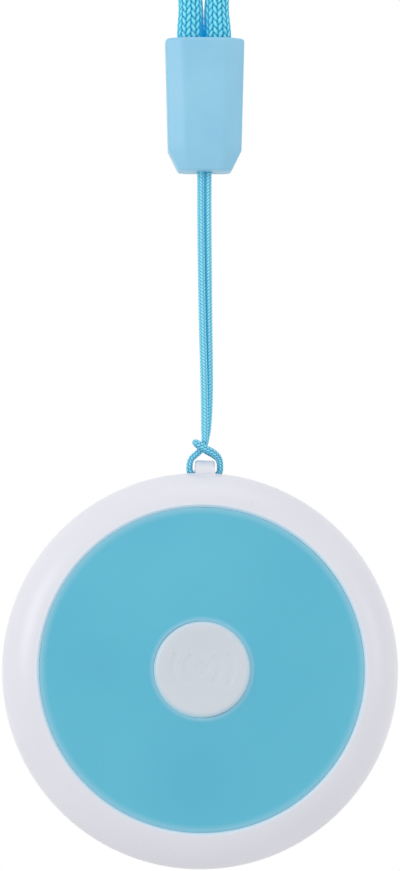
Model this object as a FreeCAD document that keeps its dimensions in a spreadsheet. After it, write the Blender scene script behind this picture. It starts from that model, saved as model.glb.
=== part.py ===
"""Round call pendant with a position tracker inside, hung from a doubled strap and a neck cord.

Millimetres. +Z is up, +X is right and the call button faces -Y. The origin is the inside of the
top of the neck loop. Pieces of the disc are drawn as seen from the front: across is +X, up is
+Z and front is -Y, all measured from the middle of the disc.
"""
import FreeCAD, Part
import math
import os
import Sketcher

doc = FreeCAD.newDocument("call_pendant")
dim = doc.addObject("Spreadsheet::Sheet", "dim")
SIZES = {
    "Neck cord and its sleeve": {
        "cord_dia": 3.75, "crimp_spread": 2.1, "sleeve_drop": 45.55, "sleeve_tall": 20.4,
        "sleeve_top_wide": 12.2, "sleeve_low_wide": 11.3, "sleeve_foot_wide": 8.0,
        "sleeve_deep": 7.0, "sleeve_foot_deep": 5.4, "sleeve_taper_tall": 3.2,
        "sleeve_bevel_wide": 2.6, "sleeve_bevel_deep": 1.5, "foot_bevel_wide": 1.4,
        "foot_bevel_deep": 0.7, "mouth_wide": 9.0, "mouth_deep": 4.8, "mouth_round": 2.3,
        "mouth_floor": 3.0, "sleeve_edge": 0.3, "crimp_fit": 0.1, "crimp_wall": 0.4,
        "crimp_tall": 5.0, "crimp_up": 8.5, "strap_hole_wide": 2.8, "strap_hole_deep": 2.0,
        "strap_hole_round": 0.95},
    "Strap": {
        "strap_dia": 1.1, "strap_gap": 0.05, "strap_show": 46.15, "strap_grip": 1.3,
        "leg_across": 2.3},
    "Case": {
        "case_radius": 30.0, "case_front": 6.9, "case_back": 7.7, "front_round": 6.5,
        "back_round": 5.5, "case_wall": 2.4, "cover_wall": 1.6, "parting": 3.55, "plate_seat": 5.4,
        "deck_thick": 1.2, "lip_chamfer": 0.3, "seam_gap": 0.15, "seam_deep": 0.3,
        "spigot_tall": 1.8, "spigot_thick": 1.1, "spigot_fit": 0.15, "gasket_land": 0.6,
        "gasket_wide": 0.9, "gasket_deep": 0.6, "gasket_fit": 0.02},
    "Eye for the strap": {
        "lug_wide": 3.0, "lug_round": 2.6, "lug_sunk": 0.6, "lug_back": 0.85, "lug_bore": 2.5,
        "side_wide": 1.8, "side_fit": 0.025, "front_lean": 8, "back_lean": 50, "hang_lean": 1.36,
        "block_half": 4.5, "block_sunk": 1.1, "block_tall": 2.9, "block_front": 3.0,
        "block_fit": 0.3},
    "Front plate and call button": {
        "ring_wide": 5.55, "plate_fit": 0.08, "plate_edge": 6.6, "plate_crown": 7.3,
        "plate_round": 0.25, "film_thick": 0.1, "film_inset": 0.5, "film_in": 9.2,
        "cap_radius": 7.2, "cap_fit": 0.1, "cap_face": 7.9, "cap_round": 0.7, "cap_dish": 0.2,
        "cap_dish_radius": 6.0, "cap_wall": 1.85, "cap_roof": 1.6, "flange_radius": 8.8,
        "flange_thick": 0.8, "flange_rest": 0.1, "deck_hole_fit": 0.25, "stem_radius": 1.6,
        "travel": 0.4, "seal_wire": 0.8, "seal_fit": 0.02, "seal_room": 0.1},
    "Circuit board and what it carries": {
        "board_fit": 1.15, "board_front": 0.2, "board_thick": 1.0, "switch_side": 5.2,
        "switch_tall": 1.5, "plunger_radius": 1.25, "plunger_fit": 0.1, "plunger_show": 0.7,
        "plunger_inside": 0.55, "plunger_spare": 0.15, "gps_rim": 7.0, "gps_tall": 3.6,
        "gps_fit": 1.2, "gps_pad_inset": 2.0, "gps_pad_tall": 0.05, "modem_wide": 16.0,
        "modem_high": 14.0, "modem_tall": 2.4, "modem_in": 13.8, "shield_round": 0.5,
        "receiver_wide": 10.0, "receiver_high": 9.6, "receiver_tall": 2.2, "receiver_in": 13.0,
        "tray_wide": 11.0, "tray_high": 13.5, "tray_tall": 1.4, "tray_in": 12.0,
        "tray_wall": 0.3, "card_wide": 8.8, "card_high": 12.3, "card_thick": 0.67,
        "card_corner": 1.6, "voice_wide": 3.5, "voice_high": 2.65, "voice_tall": 1.0,
        "voice_in": 10.0, "voice_down": 8.5},
    "Battery, speaker, shaker and charging": {
        "battery_fit": 0.5, "battery_high": 30.0, "battery_thick": 4.0, "battery_round": 1.2,
        "pad_thick": 0.5, "pad_inset": 1.0, "plug_wide": 4.0, "plug_high": 3.0, "plug_thick": 2.0,
        "plug_gap": 2.0, "lead_dia": 0.7, "lead_spread": 0.7, "lead_depth": 1.4,
        "speaker_radius": 6.5, "speaker_thick": 2.7, "speaker_fit": 1.35, "mesh_thick": 0.2,
        "mesh_radius": 5.6, "grille_hole": 0.9, "grille_ring": 3.0, "grille_outer": 5.0,
        "ring_holes": 6, "outer_holes": 10, "shaker_radius": 5.0, "shaker_thick": 2.7,
        "shaker_fit": 2.75, "contact_radius": 1.1, "contact_spread": 2.6, "contact_in": 10.0,
        "contact_sunk": 0.2, "contact_flange": 1.5, "contact_flange_thick": 0.4,
        "contact_fit": 0.05, "pin_radius": 0.6, "aerial_in": 0.05, "aerial_thick": 0.2,
        "aerial_tall": 1.8, "aerial_behind": 1.45, "aerial_sweep": 70.0},
    "Posts and screws": {
        "post_in": 14.8, "post_radius": 2.3, "nose_radius": 1.7,
        "nose_fit": 0.15, "nose_short": 0.1, "pilot_radius": 0.85, "pilot_end": 3.0,
        "boss_radius": 2.7, "screw_radius": 0.8, "screw_fit": 0.3, "screw_end": 2.5,
        "head_radius": 1.6, "head_fit": 0.3, "head_tall": 1.3, "sink_deep": 1.6,
        "slot_radius": 0.9, "slot_wide": 0.35, "slot_deep": 0.6},
}
sheet_row = 0
for heading, group in SIZES.items():
    sheet_row += 1
    dim.set(f"A{sheet_row}", heading)
    for name, value in group.items():
        sheet_row += 1
        dim.set(f"A{sheet_row}", name.replace("_", " "))
        dim.set(f"B{sheet_row}", str(value))
        dim.setAlias(f"B{sheet_row}", name)
doc.recompute()

FULL_TURN = 360
SLEEVE_FOOT = "(dim.sleeve_drop + dim.sleeve_tall)"
RIM_TOP = f"({SLEEVE_FOOT} + dim.strap_show)"
DISC_DROP = f"({RIM_TOP} + dim.case_radius)"
LUG_REACH = "(dim.case_radius - dim.lug_sunk)"
EYE_DROP = f"({DISC_DROP} - {LUG_REACH})"
PLATE_RADIUS = "(dim.case_radius - dim.ring_wide)"
DECK_UNDER = "(dim.plate_seat - dim.deck_thick)"
INNER_RADIUS = "(dim.case_radius - dim.case_wall)"
SPIGOT_OUT = f"({INNER_RADIUS} - dim.spigot_fit)"
SPIGOT_IN = f"({SPIGOT_OUT} - dim.spigot_thick)"
POST_AWAY = "(dim.case_radius - dim.post_in)"
COVER_INSIDE = "(-dim.case_back + dim.cover_wall)"
BOARD_FRONT = "(-dim.board_front)"
BOARD_BACK = "(-dim.board_front - dim.board_thick)"
LEVEL = "-dim.parting"
pieces = []


def number(expression):
    """The value that a size expression has now."""
    return float(dim.evalExpression(str(expression)))


def new_body(name):
    """A PartDesign body for one sub-part, which may be a group of separate like solids."""
    body = doc.addObject("PartDesign::Body", name)
    body.Label = name
    body.AllowCompound = True
    pieces.append(body)
    return body


def origin_feature(body, role):
    """One of the body's own origin planes or axes."""
    return next(feature for feature in body.Origin.OriginFeatures if feature.Role == role)


def sketch_on(body, role, away="0"):
    """A sketch on an origin plane of the body, moved along the plane's normal."""
    sketch = body.newObject("Sketcher::SketchObject", f"{body.Name}_sketch")
    sketch.AttachmentSupport = [(origin_feature(body, role), "")]
    sketch.MapMode = "FlatFace"
    sketch.setExpression("AttachmentOffset.Base.z", str(away))
    return sketch


def pin_point(sketch, curve, end, across, up):
    """Fix one end of a curve at a place given by two size expressions."""
    for kind, axis, expression in (("DistanceX", -2, across), ("DistanceY", -1, up)):
        value = number(expression)
        if abs(value) < 1e-9:
            sketch.addConstraint(Sketcher.Constraint("PointOnObject", curve, end, axis))
        else:
            index = sketch.addConstraint(Sketcher.Constraint(kind, -1, 1, curve, end, value))
            sketch.setExpression(f"Constraints[{index}]", str(expression))


def outline(sketch, corners):
    """Draw a closed outline. Each corner is (across, up), in size expressions. A third entry is
    the radius of the arc that leads on to the next corner, and a fourth says which way it turns:
    "left" or "right"."""
    places = [FreeCAD.Vector(number(c[0]), number(c[1]), 0) for c in corners]
    ends = []
    for index, corner in enumerate(corners):
        start, stop = places[index], places[(index + 1) % len(places)]
        if len(corner) == 2:
            curve = sketch.addGeometry(Part.LineSegment(start, stop))
            ends.append((curve, 1, 2))
            continue
        radius = number(corner[2])
        chord = stop - start
        rise = math.sqrt(max(radius ** 2 - chord.Length ** 2 / 4, 0))
        leftward = FreeCAD.Vector(-chord.y, chord.x, 0).normalize()
        turns_left = corner[3] == "left"
        centre = (start + stop) / 2 + leftward * (rise if turns_left else -rise)
        first, last = (start, stop) if turns_left else (stop, start)
        angles = [math.atan2(p.y - centre.y, p.x - centre.x) for p in (first, last)]
        circle = Part.Circle(centre, FreeCAD.Vector(0, 0, 1), radius)
        curve = sketch.addGeometry(Part.ArcOfCircle(circle, *angles))
        ends.append((curve, 1, 2) if turns_left else (curve, 2, 1))
    for index, (curve, begin, finish) in enumerate(ends):
        follower = ends[(index + 1) % len(ends)]
        sketch.addConstraint(Sketcher.Constraint("Coincident", curve, finish, *follower[:2]))
        pin_point(sketch, curve, begin, corners[index][0], corners[index][1])
        if len(corners[index]) > 2:
            arc_radius = corners[index][2]
            held = sketch.addConstraint(Sketcher.Constraint("Radius", curve, number(arc_radius)))
            sketch.setExpression(f"Constraints[{held}]", str(arc_radius))


def disc(sketch, across, up, radius):
    """Draw a full circle."""
    centre = FreeCAD.Vector(number(across), number(up), 0)
    circle = Part.Circle(centre, FreeCAD.Vector(0, 0, 1), number(radius))
    curve = sketch.addGeometry(circle)
    pin_point(sketch, curve, 3, across, up)
    held = sketch.addConstraint(Sketcher.Constraint("Radius", curve, number(radius)))
    sketch.setExpression(f"Constraints[{held}]", str(radius))


def rectangle(sketch, across, up, wide, high, corner="0"):
    """Draw an upright rectangle about its centre, with round corners where a radius is given."""
    left, right = f"({across}) - ({wide}) / 2", f"({across}) + ({wide}) / 2"
    low, top = f"({up}) - ({high}) / 2", f"({up}) + ({high}) / 2"
    if number(corner) == 0:
        outline(sketch, [(left, low), (right, low), (right, top), (left, top)])
        return
    outline(sketch, [
        (f"{left} + {corner}", low), (f"{right} - {corner}", low, corner, "left"),
        (right, f"{low} + {corner}"), (right, f"{top} - {corner}", corner, "left"),
        (f"{right} - {corner}", top), (f"{left} + {corner}", top, corner, "left"),
        (left, f"{top} - {corner}"), (left, f"{low} + {corner}", corner, "left")])


def feature(body, kind, sketch, name, **bound):
    """A sketch-based feature of a body with its lengths bound to size expressions."""
    made = body.newObject(f"PartDesign::{kind}", f"{body.Name}_{name}")
    made.Profile = sketch
    for prop, expression in bound.items():
        made.setExpression(prop, str(expression))
    return made


def turned(body, corners, name="turned", kind="Revolution"):
    """Turn an outline of (radius, front) corners about the body's own Z axis."""
    sketch = sketch_on(body, "XZ_Plane")
    outline(sketch, corners)
    made = feature(body, kind, sketch, name)
    made.ReferenceAxis = (sketch, ["V_Axis"])
    made.Angle = FULL_TURN
    return made


def pad_between(body, low, high, draw, name, kind="Pad"):
    """Pad or pocket what draw() puts in a sketch, over a stretch of the body's Z axis."""
    cutting = kind == "Pocket"
    sketch = sketch_on(body, "XY_Plane", high if cutting else low)
    draw(sketch)
    return feature(body, kind, sketch, name, Length=f"({high}) - ({low})")


def mirrored(body, originals, name):
    """Repeat features on the other side of the body's own YZ plane."""
    pattern = body.newObject("PartDesign::Mirrored", f"{body.Name}_{name}")
    pattern.Originals = originals
    pattern.MirrorPlane = (origin_feature(body, "YZ_Plane"), [""])
    body.Tip = pattern


def soften_edges(body, level, size):
    """Chamfer every edge of the body that lies in one plane square to its Z axis."""
    doc.recompute()
    solid = body.Tip
    height = number(level)
    names = [f"Edge{index}" for index, edge in enumerate(solid.Shape.Edges, 1)
             if all(abs(vertex.Z - height) < 1e-6 for vertex in edge.Vertexes)]
    softened = body.newObject("PartDesign::Chamfer", f"{body.Name}_softened")
    softened.Base = (solid, names)
    softened.setExpression("Size", size)


def hang(piece):
    """Stand a piece of the disc upright, with its own Z axis to the front, and lean it about the
    eye until its weight is below the strap."""
    across = f"-{LUG_REACH} * sin(dim.hang_lean)"
    height = f"-{EYE_DROP} - {LUG_REACH} * cos(dim.hang_lean)"
    lean = "rotation(vector(0; 1; 0); dim.hang_lean)"
    facing = "rotation(vector(1; 0; 0); 90)"
    place = f"vector({across}; -dim.lug_back; {height})"
    piece.setExpression("Placement", f"placement({place}; {lean} * {facing})")


def block(name, across, up, wide, high, low, top, corner="0"):
    """A plain block in the case: centre, width and height from the front, and its depth."""
    body = new_body(name)
    pad_between(body, low, top, lambda s: rectangle(s, across, up, wide, high, corner), "pad")
    hang(body)
    return body


def tube_along(points, diameter):
    """A plain round tube along straight runs joined by the largest tangent arcs they allow.

    Each arc's radius is 0.45 of the shorter run beside it, divided by the tangent of half the
    turn. Returns the solid, its length and the arc radii."""
    runs = [b - a for a, b in zip(points, points[1:])]
    edges, radii, here = [], [], points[0]
    for point, before, after in zip(points[1:], runs, runs[1:]):
        half_turn = before.getAngle(after) / 2
        reach = 0.45 * min(before.Length, after.Length)
        radius = reach / math.tan(half_turn)
        into, out = before.normalize(), FreeCAD.Vector(after).normalize()
        start, stop = point - into * reach, point + out * reach
        inward = (out - into).normalize()
        middle = point + inward * radius * (1 / math.cos(half_turn) - 1)
        edges.append(Part.LineSegment(here, start).toShape())
        edges.append(Part.Arc(start, middle, stop).toShape())
        radii.append(radius)
        here = stop
    edges.append(Part.LineSegment(here, points[-1]).toShape())
    path = Part.Wire(edges)
    direction = points[1] - points[0]
    section = Part.Wire(Part.makeCircle(diameter / 2, points[0], direction))
    solid = path.makePipeShell([section], True, False)
    return solid, path.Length, radii


def cord_piece(name, route, diameter):
    """A cord's plain solid, with its length, section check and arc radii printed."""
    points = [FreeCAD.Vector(*place) for place in route]
    solid, length, radii = tube_along(points, diameter)
    piece = doc.addObject("Part::Feature", name)
    piece.Label = name
    piece.Shape = solid
    piece.Placement = FreeCAD.Placement(FreeCAD.Vector(0, 0, 0), FreeCAD.Rotation())
    pieces.append(piece)
    filled = solid.Volume / (math.pi * diameter ** 2 / 4 * length)
    print(f"{name}: length {length:.1f}, volume over section times length {filled:.4f}")
    print(f"{name}: arc radii", " ".join(f"{radius:.2f}" for radius in radii))


# Neck cord: one soft braided cord. Both ends are crimped in the sleeve, and it opens into a loop.
cord_top = number("dim.cord_dia") / 2
sleeve_foot = -number(SLEEVE_FOOT)
crimp_foot = sleeve_foot + number("dim.crimp_up")
crimp_head = crimp_foot + number("dim.crimp_tall")
grip = number("dim.crimp_spread")
neck_route = [
    (-grip, 0, crimp_foot), (-grip - 0.02, 0, crimp_head + 0.2), (-2.25, 0, -46.4),
    (-2.2, 0, -39.2), (-4.1, 0, -31.6), (-9.0, 0, -24.4), (-12.9, 0, -15.6),
    (-12.6, 0, -5.4), (-5.3, 0, cord_top), (5.3, 0, cord_top), (12.8, 0, -5.7),
    (12.7, 0, -16.2), (8.6, 0, -24.9), (3.6, 0, -32.2), (1.85, 0, -39.6),
    (2.2, 0, -46.8), (grip + 0.02, 0, crimp_head + 0.2), (grip, 0, crimp_foot)]
cord_piece("neck_cord", neck_route, number("dim.cord_dia"))

# Strap: one thin braided cord whose ends are crimped with the neck cord. The doubled strap turns
# by a quarter on its way down, goes through the eye, and its loop passes round the strap itself.
rim = -number(RIM_TOP)
eye = -number(EYE_DROP)
side = (number("dim.strap_dia") + number("dim.strap_gap")) / 2
crimped = number("dim.strap_grip")
leg = number("dim.leg_across * cos(dim.hang_lean)")
eye_left = eye + number("dim.leg_across * sin(dim.hang_lean)")
eye_right = eye - number("dim.leg_across * sin(dim.hang_lean)")


def strand(across, up, turn, front):
    """A point of one strand of the doubled strap, turned about the middle of the pair."""
    sign = -1 if front else 1
    angle = math.radians(turn)
    return (across + sign * side * math.cos(angle), sign * side * math.sin(angle), rim + up)


def standing(front):
    """The strand's points from the crimp down to where it leaves the pair for the eye."""
    sign = -1 if front else 1
    return [
        (0, sign * crimped, crimp_head), (0, sign * crimped, crimp_foot - 1.4),
        strand(0, 49.55, 12, front), strand(-0.05, 41.6, 15, front),
        strand(0.02, 32.5, 20, front), strand(0.15, 22.6, 29, front),
        strand(0.34, 14.6, 40, front), strand(0.34, 9.6, 52, front),
        strand(0.2, 6.2, 68, front), strand(0.03, 4.2, 84, front)]


left_leg = [(-1.08, -side, rim + 3.05), (-2.32, -side - 0.03, rim + 2.05), (-leg, -side, eye_left)]
bight = [
    (leg, -side, eye_right), (2.42, -side - 0.03, rim + 2.05), (1.43, -1.72, rim + 3.08),
    (0.1, -1.84, rim + 3.7), (-0.97, -1.64, rim + 4.4), (-1.42, -0.57, rim + 4.75),
    (-1.42, 0.57, rim + 4.75), (-0.97, 1.64, rim + 4.4), (0.1, 1.84, rim + 3.65),
    (1.43, 1.72, rim + 2.98), (2.42, side + 0.03, rim + 2.05), (leg, side, eye_right)]
left_leg_behind = [(x, -y, z) for x, y, z in reversed(left_leg)]
strap_route = standing(True) + left_leg + bight + left_leg_behind + standing(False)[::-1]
cord_piece("strap_loop", strap_route, number("dim.strap_dia"))

# Sleeve: moulded in one piece, with bevelled sides and a narrower foot. It hides the crimp.
cord_sleeve = new_body("cord_sleeve")


def sleeve_section(up, wide, deep, bevel="sleeve"):
    """An eight-sided section of the sleeve: a rectangle whose corners are bevelled."""
    sketch = sketch_on(cord_sleeve, "XY_Plane", up)
    half, thick = f"({wide}) / 2", f"({deep}) / 2"
    flat, flank = f"({half} - dim.{bevel}_bevel_wide)", f"({thick} - dim.{bevel}_bevel_deep)"
    outline(sketch, [(flat, f"-{thick}"), (half, f"-{flank}"), (half, flank), (flat, thick),
                     (f"-{flat}", thick), (f"-{half}", flank), (f"-{half}", f"-{flank}"),
                     (f"-{flat}", f"-{thick}")])
    return sketch


foot = sleeve_section("0", "dim.sleeve_foot_wide", "dim.sleeve_foot_deep", "foot")
low = sleeve_section("dim.sleeve_taper_tall", "dim.sleeve_low_wide", "dim.sleeve_deep")
top = sleeve_section("dim.sleeve_tall", "dim.sleeve_top_wide", "dim.sleeve_deep")
taper = feature(cord_sleeve, "AdditiveLoft", foot, "foot")
taper.Sections = [low]
shaft = feature(cord_sleeve, "AdditiveLoft", low, "shaft")
shaft.Sections = [top]
pad_between(cord_sleeve, "dim.mouth_floor", "dim.sleeve_tall",
            lambda s: rectangle(s, "0", "0", "dim.mouth_wide", "dim.mouth_deep",
                                "dim.mouth_round"), "mouth", "Pocket")
pad_between(cord_sleeve, "0", "dim.mouth_floor",
            lambda s: rectangle(s, "0", "0", "dim.strap_hole_wide", "dim.strap_hole_deep",
                                "dim.strap_hole_round"), "strap_hole", "Pocket")
soften_edges(cord_sleeve, "dim.sleeve_tall", "dim.sleeve_edge")
cord_sleeve.setExpression("Placement.Base.z", f"-{SLEEVE_FOOT}")

# Crimp: an oval metal band pressed round both ends of the neck cord and of the strap.
cord_crimp = new_body("cord_crimp")


def crimp_oval(sketch, spare):
    """The crimp's oval, smaller than the sleeve's mouth by spare all round."""
    rectangle(sketch, "0", "0", f"(dim.mouth_wide - 2 * ({spare}))",
              f"(dim.mouth_deep - 2 * ({spare}))", f"(dim.mouth_round - ({spare}))")


pad_between(cord_crimp, "dim.crimp_up", "dim.crimp_up + dim.crimp_tall",
            lambda s: crimp_oval(s, "dim.crimp_fit"), "band")
pad_between(cord_crimp, "dim.crimp_up", "dim.crimp_up + dim.crimp_tall",
            lambda s: crimp_oval(s, "dim.crimp_fit + dim.crimp_wall"), "inside", "Pocket")
cord_crimp.setExpression("Placement.Base.z", f"-{SLEEVE_FOOT}")

# Front housing: rim, bezel lip, deck under the plate, screw posts and the eye for the strap.
front_housing = new_body("front_housing")
SEAT_RADIUS = f"({PLATE_RADIUS} + dim.plate_fit)"
LIP_RADIUS = f"({SEAT_RADIUS} + dim.lip_chamfer)"
FRONT_CENTRE = "(dim.case_radius - dim.front_round)"
FRONT_LEVEL = "(dim.case_front - dim.front_round)"
LIP_TOP = f"({FRONT_LEVEL} + sqrt(dim.front_round ^ 2 - ({LIP_RADIUS} - {FRONT_CENTRE}) ^ 2))"
BACK_CENTRE = "(dim.case_radius - dim.back_round)"
BACK_LEVEL = "(-dim.case_back + dim.back_round)"
SEAM_RADIUS = f"({BACK_CENTRE} + sqrt(dim.back_round ^ 2 - ({BACK_LEVEL} + dim.parting) ^ 2))"
INNER_ROUND = "(dim.front_round - dim.case_wall)"
DECK_EDGE = (f"({INNER_RADIUS} - {INNER_ROUND}"
             f" + sqrt({INNER_ROUND} ^ 2 - ({DECK_UNDER} - {FRONT_LEVEL}) ^ 2))")
DECK_HOLE = "(dim.cap_radius + dim.deck_hole_fit)"
turned(front_housing, [
    (DECK_HOLE, DECK_UNDER), (DECK_EDGE, DECK_UNDER, INNER_ROUND, "right"),
    (INNER_RADIUS, FRONT_LEVEL), (INNER_RADIUS, LEVEL),
    (SEAM_RADIUS, LEVEL, "dim.back_round", "left"),
    ("dim.case_radius", BACK_LEVEL), ("dim.case_radius", FRONT_LEVEL, "dim.front_round", "left"),
    (LIP_RADIUS, LIP_TOP), (SEAT_RADIUS, f"{LIP_TOP} - dim.lip_chamfer"),
    (SEAT_RADIUS, "dim.plate_seat"), (DECK_HOLE, "dim.plate_seat")])
BLOCK_MIDDLE = "(dim.case_radius - dim.block_sunk - dim.block_tall / 2)"
pad_between(front_housing, LEVEL, "dim.block_front",
            lambda s: rectangle(s, "0", BLOCK_MIDDLE, "2 * dim.block_half", "dim.block_tall"),
            "block")


def across_the_eye(name, draw, kind, away, **bound):
    """A feature drawn on a plane square to the eye's axis, seen from the side."""
    sketch = sketch_on(front_housing, "YZ_Plane", away)
    draw(sketch)
    return feature(front_housing, kind, sketch, name, **bound)


lug = across_the_eye("lug", lambda s: disc(s, LUG_REACH, "-dim.lug_back", "dim.lug_round"),
                     "Pad", "-dim.lug_wide / 2", Length="dim.lug_wide")


def strap_room(sketch):
    """Room for the strap at one side of the eye: round the bore, and open upwards over the angle
    through which the disc swings."""
    radius = "(dim.lug_bore / 2 + dim.side_fit)"
    beyond = "(2 * dim.lug_round)"
    front_up, front_out = "sin(dim.front_lean)", "cos(dim.front_lean)"
    back_up, back_out = "sin(dim.back_lean)", "cos(dim.back_lean)"
    front = (f"{LUG_REACH} - {radius} * {front_up}", f"-dim.lug_back + {radius} * {front_out}")
    back = (f"{LUG_REACH} - {radius} * {back_up}", f"-dim.lug_back - {radius} * {back_out}")
    outline(sketch, [
        front,
        (f"{front[0]} + {beyond} * {front_out}", f"{front[1]} + {beyond} * {front_up}"),
        (f"{back[0]} + {beyond} * {back_out}", f"{back[1]} - {beyond} * {back_up}"),
        (*back, radius, "right")])


room = across_the_eye("strap_room", strap_room, "Pocket", "dim.lug_wide / 2",
                      Length="dim.side_wide")
room.Reversed = True
mirrored(front_housing, [room], "strap_rooms")
bore = across_the_eye("bore", lambda s: disc(s, LUG_REACH, "-dim.lug_back", "dim.lug_bore / 2"),
                      "Pocket", "-dim.lug_wide / 2", Length="dim.lug_wide")
bore.Reversed = True
POST_PLACES = [(f"{side_sign}{POST_AWAY}", f"{height_sign}{POST_AWAY}")
               for side_sign in ("-", "") for height_sign in ("-", "")]


def at_posts(radius):
    """Draws one circle where each post stands, in the corners beside the battery."""
    def draw(sketch):
        for across, up in POST_PLACES:
            disc(sketch, across, up, radius)
    return draw


pad_between(front_housing, BOARD_FRONT, DECK_UNDER, at_posts("dim.post_radius"), "posts")
pad_between(front_housing, f"{BOARD_BACK} + dim.nose_short", BOARD_FRONT,
            at_posts("dim.nose_radius"), "noses")
pad_between(front_housing, f"{BOARD_BACK} + dim.nose_short", "dim.pilot_end",
            at_posts("dim.pilot_radius"), "pilots", "Pocket")
hang(front_housing)

# Back cover: shallow dish with a locating rim, a gasket groove, screw bosses and a speaker grille.
back_cover = new_body("back_cover")
COVER_ROUND = f"({SPIGOT_IN} - {BACK_CENTRE})"
GASKET_IN = f"({INNER_RADIUS} + dim.gasket_land)"
GASKET_OUT = f"({GASKET_IN} + dim.gasket_wide)"
GASKET_FLOOR = f"({LEVEL} - dim.gasket_deep)"
STEP_LEVEL = f"({LEVEL} - dim.seam_gap)"
STEP_RADIUS = f"({BACK_CENTRE} + sqrt(dim.back_round ^ 2 - ({BACK_LEVEL} - {STEP_LEVEL}) ^ 2))"
turned(back_cover, [
    ("0", "-dim.case_back"), (BACK_CENTRE, "-dim.case_back", "dim.back_round", "left"),
    (STEP_RADIUS, STEP_LEVEL), (f"{STEP_RADIUS} - dim.seam_deep", STEP_LEVEL),
    (f"{STEP_RADIUS} - dim.seam_deep", LEVEL), (GASKET_OUT, LEVEL),
    (GASKET_OUT, GASKET_FLOOR), (GASKET_IN, GASKET_FLOOR), (GASKET_IN, LEVEL),
    (SPIGOT_OUT, LEVEL), (SPIGOT_OUT, f"{LEVEL} + dim.spigot_tall"),
    (SPIGOT_IN, f"{LEVEL} + dim.spigot_tall"),
    (SPIGOT_IN, f"{COVER_INSIDE} + {COVER_ROUND}", COVER_ROUND, "right"),
    (BACK_CENTRE, COVER_INSIDE), ("0", COVER_INSIDE)])
pad_between(back_cover, LEVEL, f"{LEVEL} + dim.spigot_tall",
            lambda s: rectangle(s, "0", f"{BLOCK_MIDDLE} - dim.block_fit",
                                "2 * (dim.block_half + dim.block_fit)", "dim.block_tall"),
            "block_gap", "Pocket")
pad_between(back_cover, COVER_INSIDE, BOARD_BACK, at_posts("dim.boss_radius"), "bosses")
pad_between(back_cover, "-dim.case_back", BOARD_BACK,
            at_posts("(dim.screw_radius + dim.screw_fit)"), "screw_holes", "Pocket")
pad_between(back_cover, "-dim.case_back", "-dim.case_back + dim.sink_deep",
            at_posts("(dim.head_radius + dim.head_fit)"), "sinks", "Pocket")


SPEAKER_ACROSS = f"({SPIGOT_IN} - dim.speaker_radius - dim.speaker_fit)"


def grille(sketch):
    """The speaker's holes: one in the middle and two rings."""
    disc(sketch, SPEAKER_ACROSS, "0", "dim.grille_hole / 2")
    for ring, holes in (("dim.grille_ring", "dim.ring_holes"),
                        ("dim.grille_outer", "dim.outer_holes")):
        count = round(number(holes))
        for index in range(count):
            turn = FULL_TURN * index / count
            disc(sketch, f"{SPEAKER_ACROSS} + {ring} * cos({turn})", f"{ring} * sin({turn})",
                 "dim.grille_hole / 2")


pad_between(back_cover, "-dim.case_back", COVER_INSIDE, grille, "grille", "Pocket")


def at_contacts(radius):
    """Draws one circle where each charge contact is."""
    def draw(sketch):
        for way in ("-", ""):
            disc(sketch, f"{way}dim.contact_spread", "dim.contact_in - dim.case_radius", radius)
    return draw


pad_between(back_cover, "-dim.case_back", COVER_INSIDE,
            at_contacts("(dim.contact_radius + dim.contact_fit)"), "contact_holes", "Pocket")
hang(back_cover)

# Gasket: a square-section silicone ring in the cover's groove, pressed by the housing's edge.
edge_gasket = new_body("edge_gasket")
GASKET_NEAR = f"({GASKET_IN} + dim.gasket_fit)"
GASKET_FAR = f"({GASKET_OUT} - dim.gasket_fit)"
turned(edge_gasket, [(GASKET_NEAR, GASKET_FLOOR), (GASKET_FAR, GASKET_FLOOR),
                     (GASKET_FAR, LEVEL), (GASKET_NEAR, LEVEL)])
hang(edge_gasket)

# Front plate: a slightly crowned disc with a hole for the button, stuck down by a ring of film.
PLATE_UNDER = "(dim.plate_seat + dim.film_thick)"
PLATE_HOLE = "(dim.cap_radius + dim.cap_fit)"
CROWN_EDGE = f"({PLATE_RADIUS} - dim.plate_round)"
CROWN = (f"(({CROWN_EDGE} ^ 2 + (dim.plate_crown - dim.plate_edge) ^ 2)"
         " / (2 * (dim.plate_crown - dim.plate_edge)))")
CROWN_IN = f"({PLATE_HOLE} + dim.plate_round)"
CROWN_IN_TOP = f"(dim.plate_crown - {CROWN} + sqrt({CROWN} ^ 2 - {CROWN_IN} ^ 2))"
front_plate = new_body("front_plate")
turned(front_plate, [
    (PLATE_HOLE, PLATE_UNDER), (PLATE_RADIUS, PLATE_UNDER),
    (PLATE_RADIUS, "dim.plate_edge - dim.plate_round", "dim.plate_round", "left"),
    (CROWN_EDGE, "dim.plate_edge", CROWN, "left"), (CROWN_IN, CROWN_IN_TOP),
    (PLATE_HOLE, f"{CROWN_IN_TOP} - dim.plate_round")])
hang(front_plate)

plate_film = new_body("plate_film")
FILM_EDGE = f"({PLATE_RADIUS} - dim.film_inset)"
turned(plate_film, [("dim.film_in", "dim.plate_seat"), (FILM_EDGE, "dim.plate_seat"),
                    (FILM_EDGE, PLATE_UNDER), ("dim.film_in", PLATE_UNDER)])
hang(plate_film)

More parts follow.
